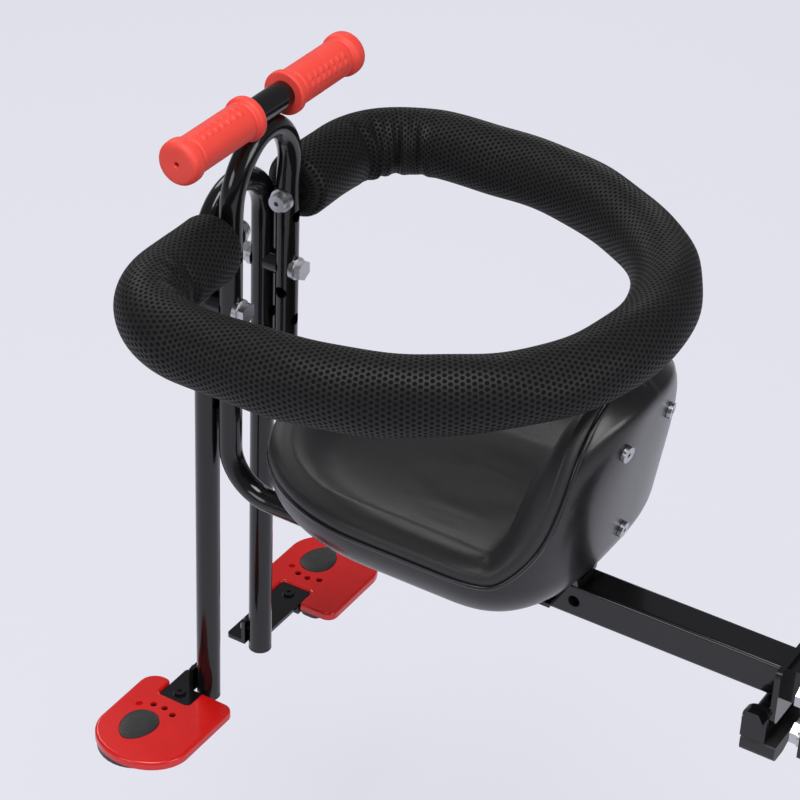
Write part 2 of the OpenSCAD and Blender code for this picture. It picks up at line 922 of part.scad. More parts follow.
// Distance from the centre of a superellipse to its edge in the direction t
function rim_r(a, b, e, t) =
    pow(pow(abs(cos(t)) / a, e) + pow(abs(sin(t)) / b, e), -1 / e);

// Direction of each column of the seat's surface, closer together at the back
function column_dir(i) =
    let (u = 360 * i / columns)
    u - 18 * sin(u);

// Outer surface of the seat in column i, at height z and set in by d
function seat_point(i, z, d) =
    let (
        t = column_dir(i),
        behind = cos(t) > 0,
        mid = behind ? seat_mid_rear : seat_mid_front,
        a = (behind ? seat_mid_rear - rear_x(z) : seat_front - seat_mid_front),
        b = max(half_w(z), 0.01),
        r = rim_r(a, b, behind ? 2.7 : 2.1, t),
        k = max(0, 1 - d / r)
    )
    [mid - k * r * cos(t), k * r * sin(t), z];

// X of the seam at a height: far forward low down, close to the shell's back higher up
function seam_x(z) = seam_back_x + seam_sweep * exp(-(z - seam_z) / seam_rise);

// Height at which column i meets the seam
function seam_height(i, low = seam_z, high = back_top, n = 18) =
    n == 0 ? (low + high) / 2
    : seat_point(i, (low + high) / 2, 0).x > seam_x((low + high) / 2)
        ? seam_height(i, low, (low + high) / 2, n - 1)
        : seam_height(i, (low + high) / 2, high, n - 1);

edge_rows = 4;
side_rows = 7;
rows = edge_rows + side_rows;
seam_heights = [for (i = [0:columns - 1]) seam_height(i)];

// Row j of column i: first the rounded lower edge, then the side up to the seam
function outer_point(i, j) =
    j <= edge_rows
        ? let (q = 90 * j / edge_rows)
            seat_point(i, seat_under + shell_edge_r * (1 - cos(q)),
                shell_edge_r * (1 - sin(q)))
        : let (
            low = seat_under + shell_edge_r,
            k = (j - edge_rows) / side_rows
        )
            seat_point(i, low + (seam_heights[i % columns] - low) * k, 0);

// Outward direction at a grid point, from the points around it
function outer_normal(i, j) =
    j == 0 ? [0, 0, -1]
    : unit(cross(
        outer_point((i + columns - 1) % columns, j) - outer_point((i + 1) % columns, j),
        outer_point(i, min(j + 1, rows)) - outer_point(i, j - 1)
    ));

function shell_ring(j, depth) = [
    for (i = [0:columns - 1]) outer_point(i, j) - depth * outer_normal(i, j)
];

module seat_shell() {
    color("#3b3c40")
        difference() {
            loft(concat(
                [for (j = [0:rows]) shell_ring(j, 0)],
                [for (j = [rows:-1:0]) shell_ring(j, shell_t)]
            ));
            at_brackets()
                for (sy = [-1, 1])
                    translate([0, sy * seat_bolt_y, 0])
                        along_z(seat_bolt_d + 0.4, 0, 2 * seat_under);
            at_back_screws() along_z(back_screw_d + fit, -9, 9, $fn = 24);
        }
}

module seat_board() {
    edge = shell_edge_r + soft_gap;
    color("#8a6a45")
        difference() {
            translate([0, 0, seat_under + shell_t])
                linear_extrude(board_t)
                    polygon([
                        for (i = [0:columns - 1])
                            let (p = seat_point(i, seat_under, edge)) [p.x, p.y]
                    ]);
            at_brackets()
                for (sy = [-1, 1])
                    translate([0, sy * seat_bolt_y, 0])
                        along_z(seat_bolt_d, 0, 3 * seat_under);
        }
}

// Direction in which the cushion's lip rises from the seam
function lip_dir(i) =
    let (
        along = outer_point((i + 1) % columns, rows)
            - outer_point((i + columns - 1) % columns, rows)
    )
    unit(cross(along, outer_normal(i, rows)));

// Ring of the lip: raised above the seam and set in from the shell's face
function lip_ring(rise, inset) = [
    for (i = [0:columns - 1])
        outer_point(i, rows) + rise * lip_dir(i) - inset * outer_normal(i, rows)
];

module seat_cushion() {
    hidden = shell_t + board_t + 2.5 * board_gap;
    color(vinyl)
        loft(concat(
            [for (j = [0:rows - 1]) shell_ring(j, hidden)],
            [
                lip_ring(-1.5, shell_t + soft_gap),
                lip_ring(soft_gap, shell_t + soft_gap),
                lip_ring(soft_gap, 0.2),
                lip_ring(0.45 * lip_h, 0.4),
                lip_ring(0.85 * lip_h, 4),
                lip_ring(lip_h, 10),
                lip_ring(0.8 * lip_h, 17),
                lip_ring(0, 26),
                lip_ring(-3, 34)
            ]
        ), zipped = true);
}

// Point and outward direction on the back of the shell
function back_surface(y, z) =
    let (
        a = seat_mid_rear - rear_x(z),
        q = pow(abs(y) / half_w(z), 2.7)
    )
    [seat_mid_rear - a * pow(1 - q, 1 / 2.7), y, z];

function back_normal(y, z) =
    unit(cross(back_surface(y, z + 1) - back_surface(y, z - 1),
        back_surface(y + 1, z) - back_surface(y - 1, z)));

// Sheet between two grids of points with as many rows and columns
module sheet(front, back) {
    rows = len(front);
    cols = len(front[0]);
    function at(side, r, c) = (side * rows + r) * cols + c;
    function quad(a, b, c, d) = [[a, b, c], [a, c, d]];
    faces = concat(
        [for (r = [0:rows - 2], c = [0:cols - 2]) each quad(
            at(0, r, c), at(0, r, c + 1), at(0, r + 1, c + 1), at(0, r + 1, c))],
        [for (r = [0:rows - 2], c = [0:cols - 2]) each quad(
            at(1, r, c), at(1, r + 1, c), at(1, r + 1, c + 1), at(1, r, c + 1))],
        [for (r = [0:rows - 2]) each quad(
            at(0, r, 0), at(0, r + 1, 0), at(1, r + 1, 0), at(1, r, 0))],
        [for (r = [0:rows - 2]) each quad(
            at(0, r, cols - 1), at(1, r, cols - 1), at(1, r + 1, cols - 1),
            at(0, r + 1, cols - 1))],
        [for (c = [0:cols - 2]) each quad(
            at(0, 0, c), at(1, 0, c), at(1, 0, c + 1), at(0, 0, c + 1))],
        [for (c = [0:cols - 2]) each quad(
            at(0, rows - 1, c), at(0, rows - 1, c + 1), at(1, rows - 1, c + 1),
            at(1, rows - 1, c))]
    );
    polyhedron(points = concat([for (r = front) each r], [for (r = back) each r]),
        faces = faces);
}

// Grid inside the shell's back, at a depth from its outer face
function back_grid(depth) = [
    for (k = [0:6])
        let (z = back_lean_z - 10 + k * (back_top - back_lean_z - 16) / 6)
        [for (c = [-4:4]) back_surface(9.1 * c, z) - depth * back_normal(9.1 * c, z)]
];

// Bent board behind the back cushion that takes the screws
module back_board() {
    color("#8a6a45")
        difference() {
            sheet(back_grid(shell_t + board_gap), back_grid(shell_t + board_gap + board_t));
            at_back_screws() along_z(back_screw_d + fit, -1, 20, $fn = 24);
        }
}

back_screw_d = 4.5;
back_screws_yz = [[29, back_top - 38.5], [-29, back_top - 38.5], [0, back_lean_z]];

// Places a child on the shell's back, with +Z pointing into the seat
module at_back_screws() {
    for (p = back_screws_yz) {
        inward = -back_normal(p.x, p.y);
        translate(back_surface(p.x, p.y))
            rotate([0, acos(inward.z), atan2(inward.y, inward.x)]) children();
    }
}

module back_screws() {
    color(zinc)
        at_back_screws()
            translate([0, 0, -0.2]) socket_bolt(back_screw_d, shell_t + board_t, 11, 2.6, $fn = 32);
}

arm_bolt_d = 5;
arm_hole_d = arm_bolt_d + 0.4;
insert_d = arm_bolt_d + 2;
arm_z = tread_z - 2;
arm_bolt_z = arm_z + 9;
arm_start = frame_half - 8;

// Flat steel arm in the channel of a footrest, with a tab bolted to the leg
module arm() {
    edge = notch_front - 0.7;
    clear_y = frame_half + leg_r + 1;
    color(black)
        difference() {
            union() {
                translate([0, 0, arm_z - arm_t])
                    linear_extrude(arm_t)
                        polygon(rounded([
                            [arm_x, arm_start, 1], [edge, arm_start, 3],
                            [edge, arm_start + arm_len, 3],
                            [edge - arm_w, arm_start + arm_len, 3],
                            [edge - arm_w, clear_y, 1], [arm_x, clear_y, 1]
                        ]));
                translate([arm_x, arm_start, arm_z - arm_t])
                    cube([arm_t, 16, 20]);
            }
            translate([0, frame_half, arm_bolt_z]) along_x(arm_hole_d, leg_x, leg_x + 40);
            translate([notch_front - 12, 0, arm_z])
                for (y = [rest_in_left + 7, rest_in_right + 7])
                    translate([0, y, 0]) along_z(arm_hole_d, -arm_t - 1, 1);
        }
}

module arm_left() {
    arm();
}

module arm_right() {
    mirror([0, 1, 0]) arm();
}

// Bolts that clamp the arms' tabs to the front of the legs
module arm_bolts() {
    color(zinc)
        both_sides()
            translate([arm_x + arm_t, frame_half, arm_bolt_z]) rotate([0, -90, 0])
                hex_bolt(arm_bolt_d, arm_t + leg_r - 1);
}

// Rivet nuts in the front wall of the legs
module leg_inserts() {
    color(zinc)
        both_sides()
            translate([0, frame_half, arm_bolt_z])
                difference() {
                    along_x(insert_d, leg_x + 0.3 * leg_r, arm_x - 0.6);
                    along_x(arm_bolt_d, leg_x, leg_x + 2 * leg_r);
                }
}

// Screws through the arms into the footrest bases
module arm_screws() {
    color(zinc)
        for (side = [[1, rest_in_left], [-1, rest_in_right]])
            translate([notch_front - 12, side.x * (side.y + 7), arm_z]) rotate([180, 0, 0])
                socket_bolt(arm_bolt_d, arm_t + 4, 9, 1.8);
}

// Plan outline of a footrest. Its inner end starts at y0, grow moves the edge
// outwards, and slot is the depth of the notch that the arm slides into
function rest_outline(y0, grow, slot) =
    let (
        end_r = 31,
        end_x = rest_front - end_r,
        end_y = y0 + rest_len - end_r,
        inner = y0 - grow,
        r = 8 + grow
    )
    concat(
        rounded([
            [rest_rear - grow, inner, r], [notch_back - grow, inner, r],
            [notch_back - grow, y0 + slot, 2], [notch_front + grow, y0 + slot, 2],
            [notch_front + grow, inner, r / 2], [rest_front + grow, inner, r / 2],
            [end_x + end_r + grow, end_y, 1]
        ], 5),
        [for (a = [10:10:170])
            [end_x + (end_r + grow) * cos(a), end_y + (end_r + grow) * sin(a)]]
    );

notch_slot = 17;
channel_end = 75;
skin_t = 1.9;
bevel = 1.4;
edge_x = notch_front - 0.7;

// Rectangle in the plan of a footrest
module slab(x0, x1, y0, y1, z0, z1) {
    translate([x0, y0, z0]) cube([x1 - x0, y1 - y0, z1 - z0]);
}

// Ribbed base; the arm lies on its raised land and its inner tongue
module footrest_base(y0) {
    low = rest_base_z - rest_base_t;
    bed = arm_z - arm_t;
    color("#1c1d20")
        difference() {
            union() {
                translate([0, 0, low]) linear_extrude(rest_base_t)
                    polygon(rest_outline(y0, -2, notch_slot));
                slab(edge_x - arm_w, edge_x, y0, y0 + notch_slot + 3, low, bed);
                slab(arm_x + 2 * arm_t, edge_x, y0 - 9, y0 + 1, low, bed);
                slab(edge_x - arm_w + 2, edge_x - 2, y0 + notch_slot, y0 + channel_end - 2,
                    rest_base_z - 1, bed);
            }
            for (k = [0:4])
                slab(notch_back - 12, notch_front + 7, y0 + 27 + 10 * k, y0 + 34 + 10 * k,
                    low - 1, rest_base_z - 2.5);
            translate([notch_front - 12, y0 + 7, 0])
                along_z(arm_bolt_d, low - 1, 0);
        }
}

// Oval outline of the grip pad
function oval(cx, cy, a, b, steps = 36) = [
    for (k = [0:steps - 1]) [cx + a * cos(360 * k / steps), cy + b * sin(360 * k / steps)]
];

pad_centre = [notch_front - 9.5, 54];
rim_steps = 4;

// Coloured tread with a rounded rim, a channel for the arm, a pad seat and toe dimples
module footrest_tread(y0) {
    skin_z = tread_z - skin_t;
    color(plastic_red)
        difference() {
            for (k = [0:rim_steps])
                let (q = 90 * k / rim_steps, drop = bevel * (1 - sin(q)))
                translate([0, 0, rest_base_z]) linear_extrude(tread_z - drop - rest_base_z)
                    polygon(rest_outline(y0, -bevel * (1 - cos(q)), notch_slot));
            slab(edge_x - arm_w - fit, edge_x + fit, y0, y0 + channel_end,
                rest_base_z - 1, skin_z - 0.05);
            translate([0, 0, tread_z - 1])
                linear_extrude(2) polygon(oval(pad_centre.x, y0 + pad_centre.y, 13.2, 17.2));
            for (p = [[3.5, 35], [-5.5, 30], [-14.5, 29], [-23.5, 32]])
                translate([notch_front + p.x, y0 + p.y, 0])
                    along_z(5, tread_z - 0.8, tread_z + 1);
        }
}

module footrest_pad(y0) {
    color("#2a2b2e")
        translate([0, 0, tread_z - 1])
            linear_extrude(1.8)
                polygon(oval(pad_centre.x, y0 + pad_centre.y, 13, 17));
}

module footrest_base_left() {
    footrest_base(rest_in_left);
}

module footrest_base_right() {
    mirror([0, 1, 0]) footrest_base(rest_in_right);
}

module footrest_tread_left() {
    footrest_tread(rest_in_left);
}

module footrest_tread_right() {
    mirror([0, 1, 0]) footrest_tread(rest_in_right);
}

module footrest_pad_left() {
    footrest_pad(rest_in_left);
}

module footrest_pad_right() {
    mirror([0, 1, 0]) footrest_pad(rest_in_right);
}

clamp_jaw_front();
clamp_jaw_rear();
clamp_liner_front();
clamp_liner_rear();
clamp_bolts();
clamp_washers();
clamp_nuts();
rest_bracket();
rest_pad();
rest_bolt();
main_tube();
tube_bushings();
tube_end_plug();
u_frame();
frame_end_plugs();
frame_sleeves();
frame_bolts();
frame_washers();
frame_nuts();
handle_bar();
grip_left();
grip_right();
leg_frame();
leg_saddles();
leg_bolts();
leg_washers();
leg_nuts();
leg_end_plugs();
guard_tube();
guard_end_plugs();
guard_foam();
guard_sleeve();
guard_bolts();
guard_washers();
seat_bracket_rear();
seat_bracket_front();
bracket_screws();
seat_bolts();
seat_shell();
seat_board();
back_board();
seat_cushion();
back_screws();
arm_left();
arm_right();
arm_bolts();
leg_inserts();
arm_screws();
footrest_base_left();
footrest_base_right();
footrest_tread_left();
footrest_tread_right();
footrest_pad_left();
footrest_pad_right();
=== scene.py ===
# %% [markdown]
# # A child seat for a bicycle's seatpost, finished in Blender
# The construction comes from a imported CAD model, and every length in it is in metres.
# This file adds what a construction model leaves plain: the smooth moulded shell, the
# swollen seat pad, the netted ring pad, the rubber grips, the glossy footrest treads and
# the finishes. The frame is loaded first, because each new piece is put where a CAD piece
# already is.

# %% Load the construction
import json
import bpy
import numpy as np
from mathutils import Matrix


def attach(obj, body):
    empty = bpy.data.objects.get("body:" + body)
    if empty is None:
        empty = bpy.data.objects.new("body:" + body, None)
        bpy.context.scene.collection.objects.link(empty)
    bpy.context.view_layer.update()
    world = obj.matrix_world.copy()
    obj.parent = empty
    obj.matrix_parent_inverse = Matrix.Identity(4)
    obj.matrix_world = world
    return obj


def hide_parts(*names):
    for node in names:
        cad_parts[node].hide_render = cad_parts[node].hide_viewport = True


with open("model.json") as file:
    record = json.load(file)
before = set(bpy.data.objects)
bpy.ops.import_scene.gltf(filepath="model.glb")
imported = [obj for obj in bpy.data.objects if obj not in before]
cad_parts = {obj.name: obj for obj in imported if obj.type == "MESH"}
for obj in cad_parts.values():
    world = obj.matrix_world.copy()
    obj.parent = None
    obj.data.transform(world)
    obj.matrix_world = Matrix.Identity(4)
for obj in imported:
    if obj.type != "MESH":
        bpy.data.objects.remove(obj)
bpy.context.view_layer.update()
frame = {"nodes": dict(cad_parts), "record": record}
nodes = frame["nodes"]
MM = 0.001

# %% [markdown]
# ## The camera
# The photograph was taken from behind the seat, to its left and above it. A matrix gives
# the camera exactly: its columns are the directions right, up and back, and the place.
# The angles were found from the straight tubes, whose lengths are known. A long lens
# keeps the lines nearly parallel, as in a catalogue photograph taken from a distance.

# %% Camera from a heading, a dip and a roll
def camera_axes(yaw, pitch, roll):
    """Right, up and forward: a heading in the plan, tipped down, then turned about the view."""
    flat = np.array([np.sin(yaw), -np.cos(yaw), 0.0])
    side = np.array([-np.cos(yaw), -np.sin(yaw), 0.0])
    top = np.array([0.0, 0.0, 1.0])
    ahead = flat * np.cos(pitch) - top * np.sin(pitch)
    above = flat * np.sin(pitch) + top * np.cos(pitch)
    return (np.cos(roll) * side + np.sin(roll) * above,
            -np.sin(roll) * side + np.cos(roll) * above, ahead)


HEADING, DIP, ROLL = np.radians([30.42, 33.65, 2.489])
CAMERA_PLACE = np.array([-0.4028, 1.2450, 1.0558])
PHOTO_WIDTH, FOCAL_LENGTH = 800.0, 2652.0  # both in pixels of the photograph
SENSOR = 36.0  # mm
right, up, ahead = camera_axes(HEADING, DIP, ROLL)
camera_data = bpy.data.cameras.new("catalogue_camera")
camera_data.sensor_width = SENSOR
camera_data.lens = FOCAL_LENGTH / PHOTO_WIDTH * SENSOR
camera_data.clip_end = 50.0
camera = bpy.data.objects.new("catalogue_camera", camera_data)
camera.matrix_world = Matrix([[*row, p] for row, p in
                              zip(np.column_stack([right, up, -ahead]), CAMERA_PLACE)]
                             + [[0, 0, 0, 1]])
bpy.context.collection.objects.link(camera)
bpy.context.scene.camera = camera
print("camera lens in mm:", round(camera_data.lens, 2))

# %% [markdown]
# ## The studio
# A black object shows its form only through what it reflects, so the studio is mostly
# large soft lamps over a pale floor. Their sum is kept at a plain level, where a colour
# comes out about as it is written. The pale background is the colour of the floor and
# of the world as the camera sees them, and not more light on the object.

# %% Floor, world and lamps
scene = bpy.context.scene
scene.view_settings.view_transform = "Standard"
PALE = (0.80, 0.80, 0.885, 1.0)
FLOOR_Z, FLOOR_HALF = -0.46, 14.0


def plain_floor(height, half):
    """A square of four corners at one height; it glows to the camera, and less to mirrors."""
    mesh = bpy.data.meshes.new("studio_floor")
    corners = np.array([[-1, -1], [1, -1], [1, 1], [-1, 1]]) * half
    mesh.from_pydata([(x, y, height) for x, y in corners.tolist()], [], [(0, 1, 2, 3)])
    floor = bpy.data.objects.new("studio_floor", mesh)
    bpy.context.collection.objects.link(floor)
    mat = bpy.data.materials.new("pale_floor")
    mat.use_nodes = True
    tree = mat.node_tree
    tree.nodes.clear()
    out = tree.nodes.new("ShaderNodeOutputMaterial")
    dull = tree.nodes.new("ShaderNodeBsdfDiffuse")
    dull.inputs["Color"].default_value = PALE
    glow = tree.nodes.new("ShaderNodeEmission")
    glow.inputs["Color"].default_value = PALE
    glow.inputs["Strength"].default_value = 1.0
    mix = tree.nodes.new("ShaderNodeMixShader")
    path = tree.nodes.new("ShaderNodeLightPath")
    mirrored_share = tree.nodes.new("ShaderNodeMath")
    mirrored_share.operation = "MULTIPLY"
    mirrored_share.inputs[1].default_value = 0.15
    tree.links.new(path.outputs["Is Glossy Ray"], mirrored_share.inputs[0])
    share = tree.nodes.new("ShaderNodeMath")
    share.operation = "MULTIPLY_ADD"
    share.inputs[1].default_value = 0.8
    tree.links.new(path.outputs["Is Camera Ray"], share.inputs[0])
    tree.links.new(mirrored_share.outputs[0], share.inputs[2])
    tree.links.new(share.outputs[0], mix.inputs["Fac"])
    tree.links.new(dull.outputs[0], mix.inputs[1])
    tree.links.new(glow.outputs[0], mix.inputs[2])
    tree.links.new(mix.outputs[0], out.inputs["Surface"])
    mesh.materials.append(mat)
    return floor


plain_floor(FLOOR_Z, FLOOR_HALF)

world = bpy.data.worlds.new("studio_world")
scene.world = world
world.use_nodes = True
world_tree = world.node_tree
world_tree.nodes.clear()
sky = world_tree.nodes.new("ShaderNodeBackground")
seen = world_tree.nodes.new("ShaderNodeBackground")
sky.inputs["Color"].default_value = (0.92, 0.94, 1.0, 1.0)
sky.inputs["Strength"].default_value = 0.20
seen.inputs["Color"].default_value = PALE
seen.inputs["Strength"].default_value = 1.0
world_path = world_tree.nodes.new("ShaderNodeLightPath")
world_mix = world_tree.nodes.new("ShaderNodeMixShader")
world_out = world_tree.nodes.new("ShaderNodeOutputWorld")
world_tree.links.new(world_path.outputs["Is Camera Ray"], world_mix.inputs["Fac"])
world_tree.links.new(sky.outputs[0], world_mix.inputs[1])
world_tree.links.new(seen.outputs[0], world_mix.inputs[2])
world_tree.links.new(world_mix.outputs[0], world_out.inputs["Surface"])

SEAT_MIDDLE = np.array([0.30, 0.0, 0.10])


def soft_lamp(name, place, size, watts):
    """A square lamp whose back axis runs from the seat's middle to the lamp."""
    data = bpy.data.lights.new(name, "AREA")
    data.shape = "SQUARE"
    data.size = size
    data.energy = watts
    lamp = bpy.data.objects.new(name, data)
    back = np.array(place) - SEAT_MIDDLE
    back = back / np.linalg.norm(back)
    side = np.cross([0.0, 0.0, 1.0], back)
    side = side / np.linalg.norm(side)
    turn = np.column_stack([side, np.cross(back, side), back])
    lamp.matrix_world = Matrix([[*row, p] for row, p in zip(turn, place)] + [[0, 0, 0, 1]])
    bpy.context.collection.objects.link(lamp)
    return lamp


soft_lamp("key_lamp", (0.1, 0.7, 2.2), 1.2, 40.0)
soft_lamp("rear_lamp", (-1.7, 0.3, 0.9), 1.0, 15.0)
soft_lamp("front_lamp", (2.0, -0.8, 1.3), 0.8, 9.0)
soft_lamp("side_lamp", (0.9, 2.1, 0.7), 0.8, 8.0)
soft_lamp("far_lamp", (1.15, -2.2, 0.6), 0.6, 3.5)

# %% [markdown]
# ## Shared finishes as node groups
# Powder coat, rubber, vinyl and moulded plastic all need the same three things: a fine
# surface grain, a gloss that is a little uneven from handling, and a colour that is never
# one flat value. Each is a node group with named inputs, built once and placed in each
# material with its own values. The groups give out only values and colours, and the
# shader stays in the material, where an exporter can read it.

# %% Node group helpers
def new_group(name, inputs, outputs):
    """An empty shader group with the named sockets, and its input and output nodes."""
    group = bpy.data.node_groups.new(name, "ShaderNodeTree")
    for label, kind, value in inputs:
        socket = group.interface.new_socket(name=label, in_out="INPUT", socket_type=kind)
        if value is not None:
            socket.default_value = value
    for label, kind in outputs:
        group.interface.new_socket(name=label, in_out="OUTPUT", socket_type=kind)
    return group, group.nodes.new("NodeGroupInput"), group.nodes.new("NodeGroupOutput")


def math_node(tree, operation, a, b=None, c=None, clamp=False):
    """A Math node whose inputs are links or plain numbers, and its output socket."""
    node = tree.nodes.new("ShaderNodeMath")
    node.operation = operation
    node.use_clamp = clamp
    for slot_number, value in enumerate((a, b, c)):
        if value is None:
            continue
        if isinstance(value, (int, float)):
            node.inputs[slot_number].default_value = value
        else:
            tree.links.new(value, node.inputs[slot_number])
    return node.outputs[0]


def noise_value(tree, vector, scale, detail=3.0, roughness=0.55):
    """Value of a Noise texture at a position."""
    node = tree.nodes.new("ShaderNodeTexNoise")
    tree.links.new(vector, node.inputs["Vector"])
    if isinstance(scale, (int, float)):
        node.inputs["Scale"].default_value = scale
    else:
        tree.links.new(scale, node.inputs["Scale"])
    node.inputs["Detail"].default_value = detail
    node.inputs["Roughness"].default_value = roughness
    return node.outputs["Fac"]


FLOAT, VECTOR, COLOR = "NodeSocketFloat", "NodeSocketVector", "NodeSocketColor"

# %% Fine grain: pebbles from cells, softened by a noise
grain, g_in, g_out = new_group(
    "fine_grain",
    [("Vector", VECTOR, None), ("Scale", FLOAT, 900.0), ("Pebble", FLOAT, 0.5)],
    [("Height", FLOAT)])
cells = grain.nodes.new("ShaderNodeTexVoronoi")
cells.feature = "SMOOTH_F1"
cells.inputs["Smoothness"].default_value = 0.6
grain.links.new(g_in.outputs["Vector"], cells.inputs["Vector"])
grain.links.new(g_in.outputs["Scale"], cells.inputs["Scale"])
speckle = noise_value(grain, g_in.outputs["Vector"], g_in.outputs["Scale"], 2.0)
pebble = math_node(grain, "MULTIPLY", cells.outputs["Distance"], g_in.outputs["Pebble"])
grain.links.new(math_node(grain, "ADD", pebble, speckle), g_out.inputs["Height"])
print("fine_grain:", len(grain.nodes), "nodes")

# %% Handled gloss: a roughness between two values, in soft patches and fine streaks
gloss, g_in, g_out = new_group(
    "handled_gloss",
    [("Vector", VECTOR, None), ("Patch scale", FLOAT, 22.0), ("Low", FLOAT, 0.25),
     ("High", FLOAT, 0.4)],
    [("Roughness", FLOAT)])
patch = noise_value(gloss, g_in.outputs["Vector"], g_in.outputs["Patch scale"], 4.0, 0.6)
fine = math_node(gloss, "MULTIPLY", g_in.outputs["Patch scale"], 14.0)
streak = noise_value(gloss, g_in.outputs["Vector"], fine, 2.0, 0.5)
blend = math_node(gloss, "MULTIPLY_ADD", streak, 0.35,
                  math_node(gloss, "MULTIPLY", patch, 0.65))
spread = math_node(gloss, "SUBTRACT", g_in.outputs["High"], g_in.outputs["Low"])
gloss.links.new(math_node(gloss, "MULTIPLY_ADD", blend, spread, g_in.outputs["Low"]),
                g_out.inputs["Roughness"])
print("handled_gloss:", len(gloss.nodes), "nodes")

# %% Uneven tint: a colour pulled towards a second one in soft patches
tint, g_in, g_out = new_group(
    "uneven_tint",
    [("Vector", VECTOR, None), ("Scale", FLOAT, 14.0), ("Color", COLOR, None),
     ("Worn color", COLOR, None), ("Amount", FLOAT, 0.5)],
    [("Color", COLOR)])
patch = noise_value(tint, g_in.outputs["Vector"], g_in.outputs["Scale"], 5.0, 0.62)
lifted = math_node(tint, "MULTIPLY_ADD", patch, 2.2, -0.6, clamp=True)
mixer = tint.nodes.new("ShaderNodeMix")
mixer.data_type = "RGBA"
tint.links.new(math_node(tint, "MULTIPLY", lifted, g_in.outputs["Amount"]),
               mixer.inputs["Factor"])
tint.links.new(g_in.outputs["Color"], mixer.inputs["A"])
tint.links.new(g_in.outputs["Worn color"], mixer.inputs["B"])
tint.links.new(mixer.outputs["Result"], g_out.inputs["Color"])
print("uneven_tint:", len(tint.nodes), "nodes")

# %% [markdown]
# ## The open net of the ring pad
# The pad is sewn into a sleeve of knitted spacer net: small open cells under 4 mm apart,
# in rows that are staggered, so each cell has six neighbours. Three cosine waves whose
# directions are 60 degrees apart add up to just such a field: it peaks in the middle of
# every cell and is low on the threads between them. The pattern reads the pad's own UV
# map, which is in metres along and around the tube, so the cells keep their size and
# follow the bends as knitted cloth does.

# %% Open net: three cosines give staggered cells
net, g_in, g_out = new_group(
    "open_net", [("UV", VECTOR, None), ("Pitch", FLOAT, 0.003), ("Opening", FLOAT, 0.35)],
    [("Thread", FLOAT), ("Height", FLOAT)])
split = net.nodes.new("ShaderNodeSeparateXYZ")
net.links.new(g_in.outputs["UV"], split.inputs[0])
wave_number = math_node(net, "DIVIDE", 4.0 * np.pi / np.sqrt(3.0), g_in.outputs["Pitch"])


def cosine_wave(angle):
    """Cosine of the distance along one direction, times the wave number."""
    along = math_node(net, "MULTIPLY", split.outputs["X"], float(np.cos(angle)))
    across = math_node(net, "MULTIPLY_ADD", split.outputs["Y"], float(np.sin(angle)), along)
    return math_node(net, "COSINE", math_node(net, "MULTIPLY", across, wave_number))


field = math_node(net, "ADD", math_node(net, "ADD", cosine_wave(0.0),
                                        cosine_wave(np.pi / 3)), cosine_wave(2 * np.pi / 3))
open_cell = math_node(net, "MULTIPLY",
                      math_node(net, "SUBTRACT", field, g_in.outputs["Opening"]), 1.1,
                      clamp=True)
thread = math_node(net, "SUBTRACT", 1.0, open_cell)
net.links.new(thread, g_out.inputs["Thread"])
net.links.new(math_node(net, "POWER", thread, 1.5), g_out.inputs["Height"])
print("open_net:", len(net.nodes), "nodes")

# %% [markdown]
# ## Materials
# One maker's function sets up a finish: the shader's constant values go straight on its
# sockets, and what changes over the surface comes from the groups above. The same recipe
# serves powder-coated steel, zinc, rubber and plastic, because they differ only in how
# fine the grain is, how even the gloss is, and in colour.

# %% A finish from colour, gloss range and grain
def finish(name, color, worn, gloss_range, grain_scale, grain_depth, *, pebble=0.5,
           patch_scale=22.0, tint_scale=14.0, amount=0.5, **constants):
    """Principled material: tint to Base Color, gloss to Roughness, grain to Bump."""
    mat = bpy.data.materials.new(name)
    mat.use_nodes = True
    tree = mat.node_tree
    shader = tree.nodes["Principled BSDF"]
    place = tree.nodes.new("ShaderNodeTexCoord").outputs["Object"]

    def put(group, **values):
        node = tree.nodes.new("ShaderNodeGroup")
        node.node_tree = group
        tree.links.new(place, node.inputs["Vector"])
        for label, value in values.items():
            node.inputs[label.replace("_", " ")].default_value = value
        return node

    colour = put(tint, Scale=tint_scale, Color=(*color, 1), Worn_color=(*worn, 1),
                 Amount=amount)
    tree.links.new(colour.outputs["Color"], shader.inputs["Base Color"])
    sheen = put(gloss, Patch_scale=patch_scale, Low=gloss_range[0], High=gloss_range[1])
    tree.links.new(sheen.outputs["Roughness"], shader.inputs["Roughness"])
    pebbles = put(grain, Scale=grain_scale, Pebble=pebble)
    bump = tree.nodes.new("ShaderNodeBump")
    bump.inputs["Strength"].default_value = 1.0
    bump.inputs["Distance"].default_value = grain_depth
    tree.links.new(pebbles.outputs["Height"], bump.inputs["Height"])
    tree.links.new(bump.outputs["Normal"], shader.inputs["Normal"])
    for label, value in constants.items():
        shader.inputs[label.replace("_", " ")].default_value = value
    return mat


